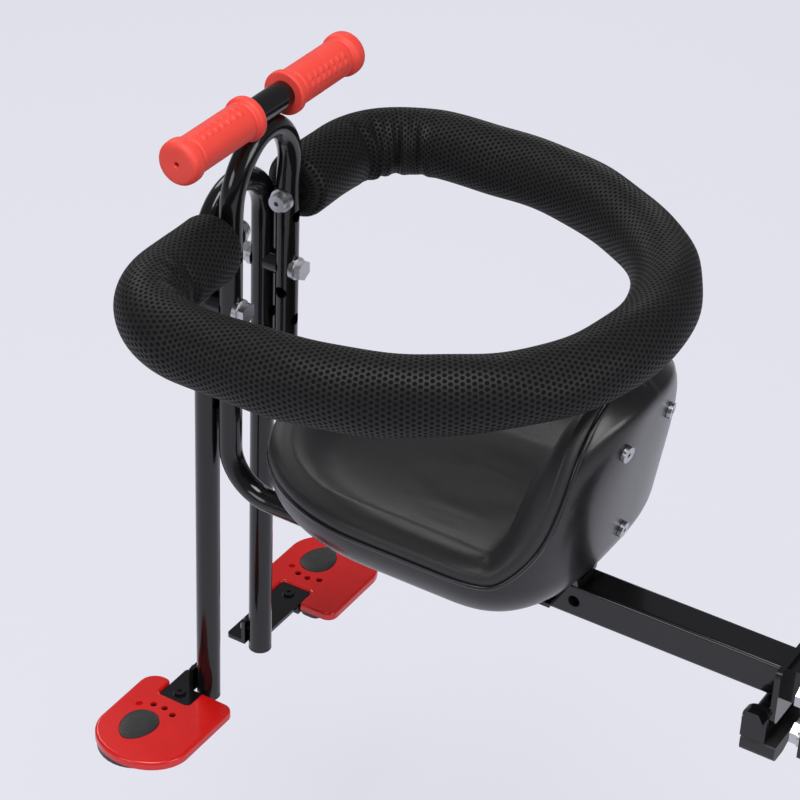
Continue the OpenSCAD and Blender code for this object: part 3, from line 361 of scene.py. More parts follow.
finishes = {
    "gloss_black": finish("powder_black", (0.0045, 0.0045, 0.005), (0.010, 0.010, 0.011),
                          (0.10, 0.24), 420.0, 0.00003, Coat_Weight=0.3,
                          Coat_Roughness=0.06, Specular_IOR_Level=0.35),
    "zinc": finish("bright_zinc", (0.56, 0.56, 0.58), (0.38, 0.38, 0.40),
                   (0.16, 0.42), 1500.0, 0.00002, patch_scale=90.0, tint_scale=120.0,
                   Metallic=1.0),
    "red_rubber": finish("grip_rubber", (0.86, 0.066, 0.045), (0.78, 0.048, 0.034),
                         (0.46, 0.64), 1300.0, 0.00007, amount=0.6, tint_scale=60.0),
    "red_tread": finish("tread_plastic", (0.73, 0.008, 0.006), (0.60, 0.007, 0.006),
                        (0.14, 0.34), 1100.0, 0.00003, tint_scale=70.0,
                        Coat_Weight=0.25, Coat_Roughness=0.12),
    "black_plastic": finish("base_plastic", (0.014, 0.014, 0.015), (0.026, 0.026, 0.028),
                            (0.34, 0.52), 1400.0, 0.00006),
    "black_shell": finish("shell_plastic", (0.008, 0.008, 0.0085), (0.014, 0.014, 0.015),
                          (0.22, 0.36), 1500.0, 0.00004, patch_scale=14.0,
                          Coat_Weight=0.25, Coat_Roughness=0.14,
                          Specular_IOR_Level=0.4),
    "vinyl": finish("seat_vinyl", (0.012, 0.012, 0.013), (0.020, 0.020, 0.0215),
                    (0.38, 0.52), 1150.0, 0.00008, pebble=1.4, patch_scale=10.0,
                    tint_scale=9.0),
    "board": finish("plywood_board", (0.42, 0.30, 0.18), (0.30, 0.20, 0.11),
                    (0.6, 0.8), 500.0, 0.0001),
    "foam": finish("grey_foam", (0.07, 0.07, 0.075), (0.045, 0.045, 0.05),
                   (0.8, 0.95), 1800.0, 0.0003, pebble=1.0),
    "nylon": finish("black_nylon", (0.012, 0.012, 0.013), (0.024, 0.024, 0.026),
                    (0.38, 0.58), 1500.0, 0.00005),
}

# %% The netted sleeve: open cells painted near-black as painted shade, under paler threads
CELL_PITCH = 0.0037
sleeve_mat = bpy.data.materials.new("netted_sleeve")
sleeve_mat.use_nodes = True
tree = sleeve_mat.node_tree
shader = tree.nodes["Principled BSDF"]
uv = tree.nodes.new("ShaderNodeTexCoord").outputs["UV"]
weave = tree.nodes.new("ShaderNodeGroup")
weave.node_tree = net
weave.inputs["Pitch"].default_value = CELL_PITCH
weave.inputs["Opening"].default_value = -0.25
tree.links.new(uv, weave.inputs["UV"])
yarn = tree.nodes.new("ShaderNodeGroup")
yarn.node_tree = tint
yarn.inputs["Scale"].default_value = 240.0
yarn.inputs["Color"].default_value = (0.0060, 0.0060, 0.0064, 1)
yarn.inputs["Worn color"].default_value = (0.015, 0.015, 0.016, 1)
yarn.inputs["Amount"].default_value = 0.8
tree.links.new(tree.nodes.new("ShaderNodeTexCoord").outputs["Object"], yarn.inputs["Vector"])
# The cells are not cut in the mesh: their near-black colour is painted shade, standing in for
# the shade inside the net's open cells.
cell_shade_mix = tree.nodes.new("ShaderNodeMix")
cell_shade_mix.data_type = "RGBA"
cell_shade_mix.inputs["A"].default_value = (0.0010, 0.0010, 0.0011, 1)
tree.links.new(weave.outputs["Thread"], cell_shade_mix.inputs["Factor"])
tree.links.new(yarn.outputs["Color"], cell_shade_mix.inputs["B"])
tree.links.new(cell_shade_mix.outputs["Result"], shader.inputs["Base Color"])
cell_bump = tree.nodes.new("ShaderNodeBump")
cell_bump.inputs["Distance"].default_value = 0.0007
tree.links.new(weave.outputs["Height"], cell_bump.inputs["Height"])
tree.links.new(cell_bump.outputs["Normal"], shader.inputs["Normal"])
cell_gloss = tree.nodes.new("ShaderNodeMapRange")
cell_gloss.inputs["To Min"].default_value = 0.95
cell_gloss.inputs["To Max"].default_value = 0.52
tree.links.new(weave.outputs["Thread"], cell_gloss.inputs["Value"])
tree.links.new(cell_gloss.outputs["Result"], shader.inputs["Roughness"])
shader.inputs["Specular IOR Level"].default_value = 0.25
finishes["sleeve"] = sleeve_mat
print("finishes:", sorted(finishes))

# %% [markdown]
# ## The CAD pieces keep their shape
# Tubes, clamp, bolts, brackets and bushings are right as they came, so they only get a
# finish. The record says which slot each one belongs to, so the finish follows from it.
# Three sets of fittings are the exception: they lie in the zinc slot, but are blackened
# here, because the photograph shows nothing as bright as its zinc nuts in their places.

# %% Give every CAD node its finish
slot_of = {part["node"]: part["material_slot"] for part in frame["record"]["subparts"]}
BLACKENED = ("leg_saddles", "arm_screws", "rest_bolt")
for name, obj in nodes.items():
    obj.data.materials.clear()
    obj.data.materials.append(finishes["gloss_black" if name in BLACKENED
                                       else slot_of[name]])
print("nodes per finish:", {s: list(slot_of.values()).count(s) for s in sorted(finishes)})

# %% [markdown]
# ## From a grid of points to a mesh
# Every new piece below is a grid: rows go one way over the surface and columns the other.
# The corners of all the faces come from one array of numbers, so no loop runs over the
# points. A grid may close on itself around its columns, and its first and last row may be
# drawn together to a point, so that the piece is closed.

# %% Grid, poles and mesh
def grid_faces(rows, cols, closed=True):
    """Quads between each row and the next; column c meets c + 1, and the last the first."""
    r, c = np.meshgrid(np.arange(rows - 1), np.arange(cols if closed else cols - 1),
                       indexing="ij")
    d = (c + 1) % cols
    return np.stack([r * cols + c, r * cols + d, (r + 1) * cols + d, (r + 1) * cols + c],
                    -1).reshape(-1, 4)


def make_piece(name, points, quads, tris=(), uv=None):
    """A smooth-shaded object at the origin from points in millimetres."""
    mesh = bpy.data.meshes.new(name)
    faces = np.asarray(quads, int).tolist() + np.asarray(tris, int).tolist()
    mesh.from_pydata((np.asarray(points) * MM).tolist(), [], faces)
    mesh.polygons.foreach_set("use_smooth", np.ones(len(mesh.polygons), bool))
    if uv is not None:
        layer = mesh.uv_layers.new(name="UVMap")
        layer.data.foreach_set("uv", np.asarray(uv, float).ravel())
    mesh.update()
    obj = bpy.data.objects.new(name, mesh)
    bpy.context.collection.objects.link(obj)
    return obj


def closed_tube(name, rings, uv_rows=None):
    """Piece from rings of points, with each end drawn to the middle of its last ring."""
    rows, cols = rings.shape[:2]
    points = np.concatenate([rings.reshape(-1, 3), [rings[0].mean(0)], [rings[-1].mean(0)]])
    c = np.arange(cols)
    d = (c + 1) % cols
    first = np.stack([np.full(cols, rows * cols), d, c], -1)
    base = (rows - 1) * cols
    last = np.stack([np.full(cols, rows * cols + 1), base + c, base + d], -1)
    quads = grid_faces(rows, cols)
    uv = None
    if uv_rows is not None:
        along, around = uv_rows
        r, k = quads[:, 0] // cols, quads[:, 0] % cols
        quad_uv = np.stack([
            np.stack([along[r, k], around[k]], -1),
            np.stack([along[r, (k + 1) % cols], around[k + 1]], -1),
            np.stack([along[r + 1, (k + 1) % cols], around[k + 1]], -1),
            np.stack([along[r + 1, k], around[k]], -1)], 1).reshape(-1, 2)
        ends = [np.stack([np.stack([along[e][c], around[c]], -1)] * 3, 1).reshape(-1, 2)
                for e in (0, rows - 1)]
        uv = np.concatenate([quad_uv, *ends])
    return make_piece(name, points, quads, np.concatenate([first, last]), uv)


def outward(obj):
    """Turns every face to the outside, if the volume from the faces comes out negative."""
    mesh = obj.data
    mesh.calc_loop_triangles()
    tri = np.empty(len(mesh.loop_triangles) * 3, int)
    mesh.loop_triangles.foreach_get("vertices", tri)
    co = np.empty(len(mesh.vertices) * 3)
    mesh.vertices.foreach_get("co", co)
    a, b, c = np.moveaxis(co.reshape(-1, 3)[tri.reshape(-1, 3)], 1, 0)
    volume = np.einsum("ij,ij->i", a, np.cross(b, c)).sum() / 6
    if volume < 0:
        mesh.flip_normals()
    return abs(volume)


def settle(obj, slot_name, *replaced):
    """The last step for every piece: faces out, a finish, and what it stands for."""
    volume = outward(obj)
    obj.data.materials.append(finishes[slot_name])
    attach(obj, "root")
    if replaced:
        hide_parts(*replaced)
    print(f"{obj.name}: {len(obj.data.polygons)} faces, {volume * 1e6:.1f} cm3")
    return obj


# %% [markdown]
# ## The moulded seat shell
# The shell is one plastic moulding. Its plan is a superellipse, fuller behind than in
# front, its back leans and closes in a dome, and its lower edge is rounded. The pad meets
# it along a seam that runs low round the front and sweeps up to the top of the back. One
# function gives the surface for a direction and a height, so the shell, its seam and the
# pad all take their shape from the same lines.

# %% The seat's outer surface
SEAT = dict(width=206.0, front=411.0, rear=161.7, under=24.0, seam=57.5, top=178.0,
            edge=30.0, lean=0.16, lean_from=60.5, top_round=18.0, dome=81.0, dome_power=2.25,
            seam_x=165.0, sweep=35.0, rise=27.0, rear_power=2.7, front_power=2.1,
            mid_rear=235.0, mid_front=293.0, wall=3.5)
COLUMNS = 224
GATHER = np.radians(18)  # draws the columns together at the back, which bends the most
theta = np.linspace(0, 2 * np.pi, COLUMNS, endpoint=False)
theta = theta - GATHER * np.sin(theta)


def unit(v):
    """Vector over its length."""
    return v / np.maximum(np.linalg.norm(v, axis=-1, keepdims=True), 1e-9)


def seat_surface(t, z, inset):
    """Superellipse in plan for direction t; its rear leans with height z, its width domes."""
    behind = np.cos(t) > 0
    k = np.clip((z - SEAT["top"] + SEAT["top_round"]) / SEAT["top_round"], 0, 1)
    rear = (SEAT["rear"] - SEAT["lean"] * (z - SEAT["lean_from"])
            + SEAT["top_round"] * (1 - np.sqrt(1 - k ** 2)))
    a = np.where(behind, SEAT["mid_rear"] - rear, SEAT["front"] - SEAT["mid_front"])
    q = np.clip((z - SEAT["top"] + SEAT["dome"]) / SEAT["dome"], 0, 1)
    b = SEAT["width"] / 2 * (1 - q ** SEAT["dome_power"]) ** (1 / SEAT["dome_power"])
    b = np.maximum(b, 0.01)
    e = np.where(behind, SEAT["rear_power"], SEAT["front_power"])
    r = ((np.abs(np.cos(t)) / a) ** e + (np.abs(np.sin(t)) / b) ** e) ** (-1 / e)
    k = np.maximum(0, 1 - inset / r)
    mid = np.where(behind, SEAT["mid_rear"], SEAT["mid_front"])
    return np.stack([mid - k * r * np.cos(t), k * r * np.sin(t), z + 0 * t], -1)


HALVINGS = 24


def seam_heights():
    """Height in each direction where the surface crosses the swept seam, by halving."""
    low = np.full(COLUMNS, SEAT["seam"])
    high = np.full(COLUMNS, SEAT["top"])
    for _ in range(HALVINGS):
        mid = (low + high) / 2
        line = SEAT["seam_x"] + SEAT["sweep"] * np.exp(-(mid - SEAT["seam"]) / SEAT["rise"])
        ahead_of = seat_surface(theta, mid, 0)[:, 0] > line
        high = np.where(ahead_of, mid, high)
        low = np.where(ahead_of, low, mid)
    return (low + high) / 2


def smooth_round(values, passes):
    """Mean of each value and its two neighbours around the seat, several times."""
    for _ in range(passes):
        values = (np.roll(values, 1, 0) + values * 2 + np.roll(values, -1, 0)) / 4
    return values


seam = smooth_round(seam_heights(), 6)
EDGE_ROWS, SIDE_ROWS = 12, 30
q = np.linspace(0, np.pi / 2, EDGE_ROWS, endpoint=False)[:, None]
edge = seat_surface(theta[None], SEAT["under"] + SEAT["edge"] * (1 - np.cos(q)),
                    SEAT["edge"] * (1 - np.sin(q)))
low = SEAT["under"] + SEAT["edge"]
k = np.linspace(0, 1, SIDE_ROWS + 1)[:, None]
side = seat_surface(theta[None], low + (seam[None] - low) * k, 0.0)
outer = np.concatenate([edge, side])


def grid_normals(grid):
    """Unit cross product of the step around and the step up, at every grid point."""
    around = np.roll(grid, 1, 1) - np.roll(grid, -1, 1)
    rise = np.gradient(grid, axis=0)
    return unit(np.cross(around, rise))


normals = grid_normals(outer)
normals[0] = [0, 0, -1]
seam_line = outer[-1]
seam_out = unit(smooth_round(normals[-1], 3))
along = np.roll(seam_line, -1, 0) - np.roll(seam_line, 1, 0)
seam_up = unit(np.cross(along, seam_out))
print("seam from z", round(float(seam.min()), 1), "to", round(float(seam.max()), 1), "mm")

# %% [markdown]
# The free edge of such a moulding is never a bare cut: it ends in a small bead that
# stiffens it and hides the cushion's edge. The bead is a short profile, given as steps
# out of the wall and up from the seam, and it is carried round the whole seam. The shell
# is then closed by its inner wall and by a flat floor outside and inside.

# %% Bead, inner wall and floor
bead = np.array([[0.0, -3.2], [0.5, -2.6], [0.8, -1.6], [0.8, -0.7], [0.4, -0.1],
                 [-0.4, 0.2], [-1.6, 0.2], [-2.6, -0.2], [-3.3, -1.2]])
bead_rows = (seam_line[None] + bead[:, 0, None, None] * seam_out[None]
             + bead[:, 1, None, None] * seam_up[None])
inner = (outer - SEAT["wall"] * normals)[::-1]
FLOOR_MIDDLE = np.array([290.0, 0.0, 0.0])


def floor_rows(ring, height):
    """Rings that shrink from the given one to the middle of the seat's floor."""
    share = np.array([0.75, 0.5, 0.25, 0.05])[:, None, None]
    flat = ring * [1, 1, 0] + [0, 0, height]
    centre = FLOOR_MIDDLE + [0, 0, height]
    return centre + (flat - centre) * share


shell_rings = np.concatenate([floor_rows(outer[0], SEAT["under"])[::-1], outer[:-2],
                              bead_rows, inner[2:],
                              floor_rows(inner[-1], SEAT["under"] + SEAT["wall"])])
settle(closed_tube("seat_moulding", shell_rings), "black_shell", "seat_shell")

# %% [markdown]
# ## The seat pad
# The pad is moulded foam under a thin vinyl skin. It has a broad rounded lip that follows
# the seam, a soft valley inside it and a nearly flat middle. The lip is a smooth curve
# through a few heights and insets, carried round the seam, and the middle is filled from
# side to side by curves that leave the lip in its own direction.

# %% Lip rings and the middle
def smooth_curve(knots, count):
    """Catmull-Rom curve through the knots: each span bends to the neighbours' slopes."""
    knots = np.asarray(knots, float)
    full = np.concatenate([[2 * knots[0] - knots[1]], knots, [2 * knots[-1] - knots[-2]]])
    s = np.linspace(0, len(knots) - 1, count)
    i = np.minimum(s.astype(int), len(knots) - 2)
    u = (s - i)[:, None]
    a, b, c, d = full[i], full[i + 1], full[i + 2], full[i + 3]
    return 0.5 * (2 * b + (c - a) * u + (2 * a - 5 * b + 4 * c - d) * u ** 2
                  + (3 * b - a - 3 * c + d) * u ** 3)


lip = smooth_curve([[0.2, 0.7], [3.0, 0.1], [6.4, 0.6], [9.4, 2.8], [11.4, 6.4],
                    [12.4, 12.4], [11.4, 18.2], [8.0, 24.0], [2.6, 29.6], [-2.0, 35.4],
                    [-4.4, 41.5]], 34)
BOARD, BOARD_GAP = 4.0, 1.1
HIDDEN = SEAT["wall"] + BOARD + 2.5 * BOARD_GAP  # from the outer surface to the foam
TUCK_IN, TUCK_DOWN = 3.9, np.array([-3.0, -0.4])  # the skin's turn behind the bead
under_rows = (outer - HIDDEN * normals)[::3]
tuck = (seam_line[None] - TUCK_IN * seam_out[None]
        + TUCK_DOWN[:, None, None] * seam_up[None])
lip_rows = (seam_line[None] - lip[:, 1, None, None] * seam_out[None]
            + lip[:, 0, None, None] * seam_up[None])
pad_rings = np.concatenate([floor_rows(under_rows[0], SEAT["under"] + HIDDEN)[::-1],
                            under_rows[:-1], tuck, lip_rows])
PAD_ROWS = len(pad_rings)
half = COLUMNS // 2
left = pad_rings[-1, 1:half]
right_side = pad_rings[-1, :half:-1]
step_left = left - pad_rings[-3, 1:half]
step_right = right_side - pad_rings[-3, :half:-1]
span = np.linalg.norm(left - right_side, axis=-1, keepdims=True)
ACROSS = 40
PULL = 0.7  # how strongly the lip's own direction carries on into the middle
s = np.linspace(0, 1, ACROSS + 2)[1:-1, None, None]
middle = ((2 * s ** 3 - 3 * s ** 2 + 1) * left + (s ** 3 - 2 * s ** 2 + s)
          * unit(step_left) * span * PULL + (3 * s ** 2 - 2 * s ** 3) * right_side
          - (s ** 3 - s ** 2) * unit(step_right) * span * PULL)
points = np.concatenate([pad_rings.reshape(-1, 3), middle.reshape(-1, 3),
                         [pad_rings[0].mean(0)]])
start = PAD_ROWS * COLUMNS
ring0 = (PAD_ROWS - 1) * COLUMNS
ids = np.concatenate([(ring0 + np.arange(1, half))[None],
                      start + np.arange(ACROSS * (half - 1)).reshape(ACROSS, half - 1),
                      (ring0 + np.arange(COLUMNS - 1, half, -1))[None]])
cross = np.stack([ids[:-1, :-1], ids[:-1, 1:], ids[1:, 1:], ids[1:, :-1]], -1)
quads = np.concatenate([grid_faces(PAD_ROWS, COLUMNS), cross.reshape(-1, 4)])
fan_rear = np.stack([np.full(ACROSS + 1, ring0), ids[:-1, 0], ids[1:, 0]], -1)
fan_front = np.stack([np.full(ACROSS + 1, ring0 + half), ids[1:, -1], ids[:-1, -1]], -1)
c = np.arange(COLUMNS)
fan_floor = np.stack([np.full(COLUMNS, len(points) - 1), (c + 1) % COLUMNS, c], -1)
print("seat pad points:", len(points))

# %% Relax the middle, with the lip and the underside held
def relax(points, quads, free, passes):
    """Each free point moves half way to the mean of its neighbours, several times."""
    edges = np.concatenate([quads[:, [0, 1]], quads[:, [1, 2]], quads[:, [2, 3]],
                            quads[:, [3, 0]]])
    edges = np.unique(np.sort(edges, 1), axis=0)
    count = np.bincount(edges.ravel(), minlength=len(points))[:, None]
    for _ in range(passes):
        total = np.stack([np.bincount(edges[:, 0], points[edges[:, 1], a], len(points))
                          + np.bincount(edges[:, 1], points[edges[:, 0], a], len(points))
                          for a in range(3)], -1)
        points = points + free * 0.5 * (total / np.maximum(count, 1) - points)
    return points


# The lip's last 16 rows move freely, and the eight rows before them only a little.
FREE_ROWS, EASED_ROWS, EASED, PASSES = 16, 24, 0.35, 60
first_free, first_eased = (PAD_ROWS - FREE_ROWS) * COLUMNS, (PAD_ROWS - EASED_ROWS) * COLUMNS
free = np.zeros(len(points))
free[first_free:-1] = 1.0
free[first_eased:first_free] = EASED
points = relax(points, quads, free[:, None], PASSES)
seat_pad = make_piece("seat_pad", points, quads,
                      np.concatenate([fan_rear, fan_front, fan_floor]))
print(f"seat pad: {outward(seat_pad) * 1e6:.1f} cm3 before it is filled")

# %% [markdown]
# Foam pushes the skin outwards, so the pad is blown up by a short cloth simulation, as
# real upholstery is filled. The seam and the underside are pinned, gravity is off, and
# no point may move more than 2 mm, because this pad is firm and keeps its moulded shape.

# %% Let the skin swell
FRAMES = 20


def swell(obj, held, pressure, cap):
    """Cloth with inner pressure for a few frames; each point's move is cut to the cap."""
    mesh = obj.data
    before = np.empty(len(mesh.vertices) * 3)
    mesh.vertices.foreach_get("co", before)
    pins = obj.vertex_groups.new(name="held")
    pins.add(np.flatnonzero(held).tolist(), 1.0, "REPLACE")
    cloth = obj.modifiers.new("swell", "CLOTH")
    cloth.settings.use_pressure = True
    cloth.settings.uniform_pressure_force = pressure
    cloth.settings.effector_weights.gravity = 0.0
    cloth.settings.vertex_group_mass = "held"
    cloth.settings.quality = 4
    cloth.point_cache.frame_start = 1
    cloth.point_cache.frame_end = FRAMES
    for number in range(1, FRAMES + 1):
        scene.frame_set(number)
    shaped = obj.evaluated_get(bpy.context.evaluated_depsgraph_get()).to_mesh()
    after = np.empty_like(before)
    shaped.vertices.foreach_get("co", after)
    obj.modifiers.remove(cloth)
    obj.vertex_groups.clear()
    move = (after - before).reshape(-1, 3)
    size = np.linalg.norm(move, axis=-1, keepdims=True)
    move *= np.minimum(1, cap / np.maximum(size, 1e-9))
    mesh.vertices.foreach_set("co", before + move.ravel())
    mesh.update()
    scene.frame_set(1)
    return float(size.max()), float(size[~held].mean())


most, mean = swell(seat_pad, held=free < 0.2, pressure=0.8, cap=2.0 * MM)
print(f"swelled: most {most / MM:.1f} mm, mean {mean / MM:.1f} mm")
settle(seat_pad, "vinyl", "seat_cushion")

# %% [markdown]
# ## The netted ring pad
# A foam tube in a knitted sleeve is drawn over the guard ring and ends in rounded caps
# beside the uprights. The ring's middle line is made of arcs and straights, as the bent
# tube inside is. A circle carried along it gives the pad, and then the circle is made
# less perfect: the sleeve hangs a little on the underside, it bunches into creases on the
# inside of the front corners, and it is slightly uneven all the way round.

# %% Middle line of the ring: arcs and straights
def arc(centre, radius, start, stop, count):
    """Points on a circle between two angles in degrees."""
    a = np.radians(np.linspace(start, stop, count))
    return np.stack([centre[0] + radius * np.cos(a), centre[1] + radius * np.sin(a)], -1)


def straight(start, stop, count):
    """Points at even steps from one place to another."""
    return np.stack([np.linspace(a, b, count) for a, b in zip(start, stop)], -1)


def even_points(points, count, endpoint=True):
    """The same line through points at even steps, and how far along it each one is."""
    steps = np.concatenate([[0], np.cumsum(np.linalg.norm(np.diff(points, axis=0), axis=1))])
    at = np.linspace(0, steps[-1], count, endpoint=endpoint)
    return np.stack([np.interp(at, steps, points[:, a]) for a in (0, 1)], -1), at


RING = dict(rear_x=299, rear_r=138, side_r=208, straight=48, corner_r=54, end_y=43.4)
TURN = float(np.degrees(np.arctan2(4, 3)))  # where the rear bend passes into the side bend
wider = RING["side_r"] - RING["rear_r"]
side_x, side_y = RING["rear_x"] + 3 * wider / 5, -4 * wider / 5
half_width = side_y + RING["side_r"]
corner_x, corner_y = side_x + RING["straight"], half_width - RING["corner_r"]
front_x = corner_x + RING["corner_r"]
left_line = np.concatenate([
    arc((RING["rear_x"], 0), RING["rear_r"], 180, 180 - TURN, 60),
    arc((side_x, side_y), RING["side_r"], 180 - TURN, 90, 60)[1:],
    straight((side_x, half_width), (corner_x, half_width), 20)[1:],
    arc((corner_x, corner_y), RING["corner_r"], 90, 0, 50)[1:],
    straight((front_x, corner_y), (front_x, RING["end_y"]), 34)[1:]])
line = np.concatenate([left_line[:0:-1], left_line * [1, -1]])[::-1]
ALONG = 440
line, at = even_points(line, ALONG)
length = at[-1]
tangent = unit(np.gradient(line, axis=0))
tilt = np.radians(1.7)
HINGE_X, HINGE_Z = 440.0, 196.0


def on_ring_plane(p):
    """Flat points turned about the front of the ring, by its slope, to their height."""
    x = p[..., 0] - HINGE_X
    return np.stack([HINGE_X + x * np.cos(tilt) + p[..., 2] * np.sin(tilt), p[..., 1],
                     HINGE_Z - x * np.sin(tilt) + p[..., 2] * np.cos(tilt)], -1)


print("ring pad middle line:", round(length, 1), "mm")

# %% Section, hang, creases and caps
AROUND = 72
PAD_R = 23.0
HANG = dict(least=1.2, more=6.4, power=1.4, at_x=310, width=130, from_x=205, fade=60)
phi = np.linspace(0, 2 * np.pi, AROUND, endpoint=False)
outside = np.stack([tangent[:, 1], -tangent[:, 0]], -1)
if np.einsum("ij,ij->i", outside, line - [RING["rear_x"], 0]).mean() < 0:
    outside = -outside
s = at[:, None]
line_x, line_y = line[:, :1], line[:, 1:]
near = np.exp(-((line_x - HANG["at_x"]) / HANG["width"]) ** 2) * (line_y > 0)
down = np.maximum(0, -np.sin(phi))[None]
inward = np.maximum(0, -np.cos(phi))[None]
clear_of_seat = np.clip((line_x - HANG["from_x"]) / HANG["fade"], 0, 1)
hang = down ** HANG["power"] * (HANG["least"] + HANG["more"] * near) * clear_of_seat
bumpy = 0.35 * (np.sin(s / 31 + 2 * np.cos(phi)) + np.sin(s / 17 - 3 * np.sin(phi) + 1.3)
                + 0.7 * np.sin(s / 9.5 + 4 * np.cos(phi + 0.8)))


CREASES = ((-27, 3.2, 0.7), (-13, 3.6, 1.0), (1, 3.0, 0.75), (14, 4.0, 0.9),
           (29, 3.4, 0.55))  # each: place from the corner's middle, width, share of depth
BESIDE, BESIDE_WIDTH, BESIDE_SHARE = 6.5, 4.5, 0.45
SLANT = 5.0


def creases(sign, depth):
    """Narrow dips across the inside of one front corner, with a soft swell between them."""
    corner = [corner_x + 40, sign * (corner_y + 30)]
    corner_s = at[np.argmin(np.linalg.norm(line - corner, axis=1))]
    total = np.zeros((ALONG, AROUND))
    for offset, width, share in CREASES:
        bend_s = corner_s + offset + SLANT * np.sin(phi + offset)[None]
        total += share * (-np.exp(-((s - bend_s) / width) ** 2) + BESIDE_SHARE
                          * np.exp(-((s - bend_s - BESIDE) / BESIDE_WIDTH) ** 2))
    return depth * total * inward ** 1.3


radius = PAD_R + bumpy + creases(-1, 4.2) + creases(1, 2.6)
CAP = 9.0  # length of each rounded end
from_end = np.minimum(s, length - s)
lift = np.clip(1 - from_end / CAP, 0, 1)
radius = radius - CAP * (1 - np.sqrt(1 - np.minimum(lift, 0.999) ** 2)) * 0.98
flat_pts = line[:, None] + radius[..., None] * np.cos(phi)[None, :, None] * outside[:, None]
ring_pts = np.concatenate([flat_pts, (radius * np.sin(phi)[None] - hang)[..., None]], -1)
rings = on_ring_plane(ring_pts)


def end_disc(ring, share):
    """The end ring drawn in towards its middle by a share."""
    middle_point = ring.mean(0)
    return middle_point + (ring - middle_point) * share


DISC, DISC_STEP = 0.75, 3.0
rings = np.concatenate([[end_disc(rings[0], DISC)], rings, [end_disc(rings[-1], DISC)]])
along_rows = (np.concatenate([[-DISC_STEP], at, [length + DISC_STEP]])[:, None] * MM
              + np.zeros(AROUND))
around_row = np.arange(AROUND + 1) / AROUND * 2 * np.pi * PAD_R * MM
ring_pad = closed_tube("ring_pad", rings, (along_rows, around_row))
settle(ring_pad, "sleeve", "guard_sleeve", "guard_foam")

# %% [markdown]
# ## The rubber grips
# Each grip is turned: an outer flange with a rounded cap, a small hole in its middle from
# the mould, a groove beside each flange and a plain barrel. The profile is a list of
# lengths and radii. Turning it gives the surface, and a low field of short raised bars on
# top keeps the hand from slipping.

# %% Turned profile with raised bars
BAR_X, BAR_Z, GRIP_START = 436.07, 277.65, 19.5
grip_profile = smooth_curve([[0, 9.6], [0.1, 12.5], [0.2, 14.3], [1.2, 15.0], [3.0, 15.1],
                             [4.8, 15.0], [6.0, 14.2], [6.8, 13.2], [7.6, 12.55],
                             [8.6, 12.3], [9.6, 12.6], [10.6, 13.0], [14.0, 13.0],
                             [24.0, 13.0], [36.0, 13.0], [50.0, 13.0], [60.0, 13.0],
                             [62.6, 12.9], [63.4, 12.4], [64.2, 12.4], [65.0, 13.0],
                             [66.2, 14.2], [67.6, 14.9], [70.0, 15.1], [72.6, 15.0],
                             [74.8, 14.5], [76.4, 13.2], [77.0, 11.4], [77.1, 8.0],
                             [77.1, 5.0], [77.0, 2.5], [76.7, 1.8], [75.6, 1.5],
                             [72.0, 1.4]], 600)
grip_profile, _ = even_points(grip_profile, 290)
turn = np.linspace(0, 2 * np.pi, 144, endpoint=False)


BARS = dict(rows=7, first=17.0, pitch=6.4, half_length=1.7, lanes=24, half_angle=9,
            steep=3.0, height=0.7)
BARS_AT = {1: 104, -1: 152}  # degrees round the bar, for the left and the right grip


def raised_bars(length_mm, angle, middle):
    """Rows of two short bars: a flat-topped bump along and around for each."""
    height = np.zeros(np.broadcast(length_mm, angle).shape)
    for number in range(BARS["rows"]):
        centre = BARS["first"] + BARS["pitch"] * number
        for lane in (-0.5, 0.5):
            lane_at = np.radians(middle + lane * BARS["lanes"])
            d_along = np.abs(length_mm - centre) / BARS["half_length"]
            d_around = np.abs(angle - lane_at) / np.radians(BARS["half_angle"])
            height += np.clip(BARS["steep"] * (1 - np.maximum(d_along, d_around)), 0, 1)
    return BARS["height"] * height


def grip_rings(side_sign):
    """The profile turned about the handle bar's axis, on one side of the frame."""
    a = turn[None]
    lengths = grip_profile[:, 0][:, None]
    r = grip_profile[:, 1][:, None] + raised_bars(lengths, a, BARS_AT[side_sign])
    y = side_sign * (GRIP_START + lengths + 0 * a)
    return np.stack([BAR_X + r * np.cos(a), y, BAR_Z + r * np.sin(a)], -1)


for word, sign in (("left", 1), ("right", -1)):
    settle(closed_tube(f"hand_grip_{word}", grip_rings(sign)), "red_rubber",
           f"grip_{word}")

# %% [markdown]
# ## The footrest treads
# A tread is a red moulding with a generous rounded rim. Its outline is straight along the
# inner side, with a notch for the leg, and round at the outer end. Rings that step inwards
# and up round the rim, a filled top and a few cutters for the pad's seat, the toe holes
# and the arm's channel make it, as a machinist would.

# %% Outline of a footrest
FOOTRESTS = (("left", 1, 43.0), ("right", -1, 84.0))  # side, sign of Y, inner side's Y
TREAD = dict(rear=429, front=503.5, length=89, end_r=31, notch_rear=458,
             notch_front=484.5, notch=17)
ARC_POINTS = 8


def rounded_outline(corners, arc_points=ARC_POINTS):
    """Polygon whose corners are replaced by short arcs of their own radius."""
    p = np.array([c[:2] for c in corners], float)
    r = np.array([c[2] for c in corners], float)[:, None]
    back = unit(np.roll(p, 1, 0) - p)
    on = unit(np.roll(p, -1, 0) - p)
    half_angle = np.arccos(np.clip((back * on).sum(1), -1, 1))[:, None] / 2
    reach = r / np.tan(half_angle)
    centre = p + unit(back + on) * r / np.sin(half_angle)
    a0 = p + back * reach - centre
    a1 = p + on * reach - centre
    t = np.linspace(0, 1, arc_points)[None, :, None]
    turn_by = np.arctan2(a0[:, 0] * a1[:, 1] - a0[:, 1] * a1[:, 0], (a0 * a1).sum(1))
    ang = turn_by[:, None, None] * t
    rot = np.concatenate([a0[:, None, :1] * np.cos(ang) - a0[:, None, 1:] * np.sin(ang),
                          a0[:, None, :1] * np.sin(ang) + a0[:, None, 1:] * np.cos(ang)], -1)
    return (centre[:, None] + rot).reshape(-1, 2)


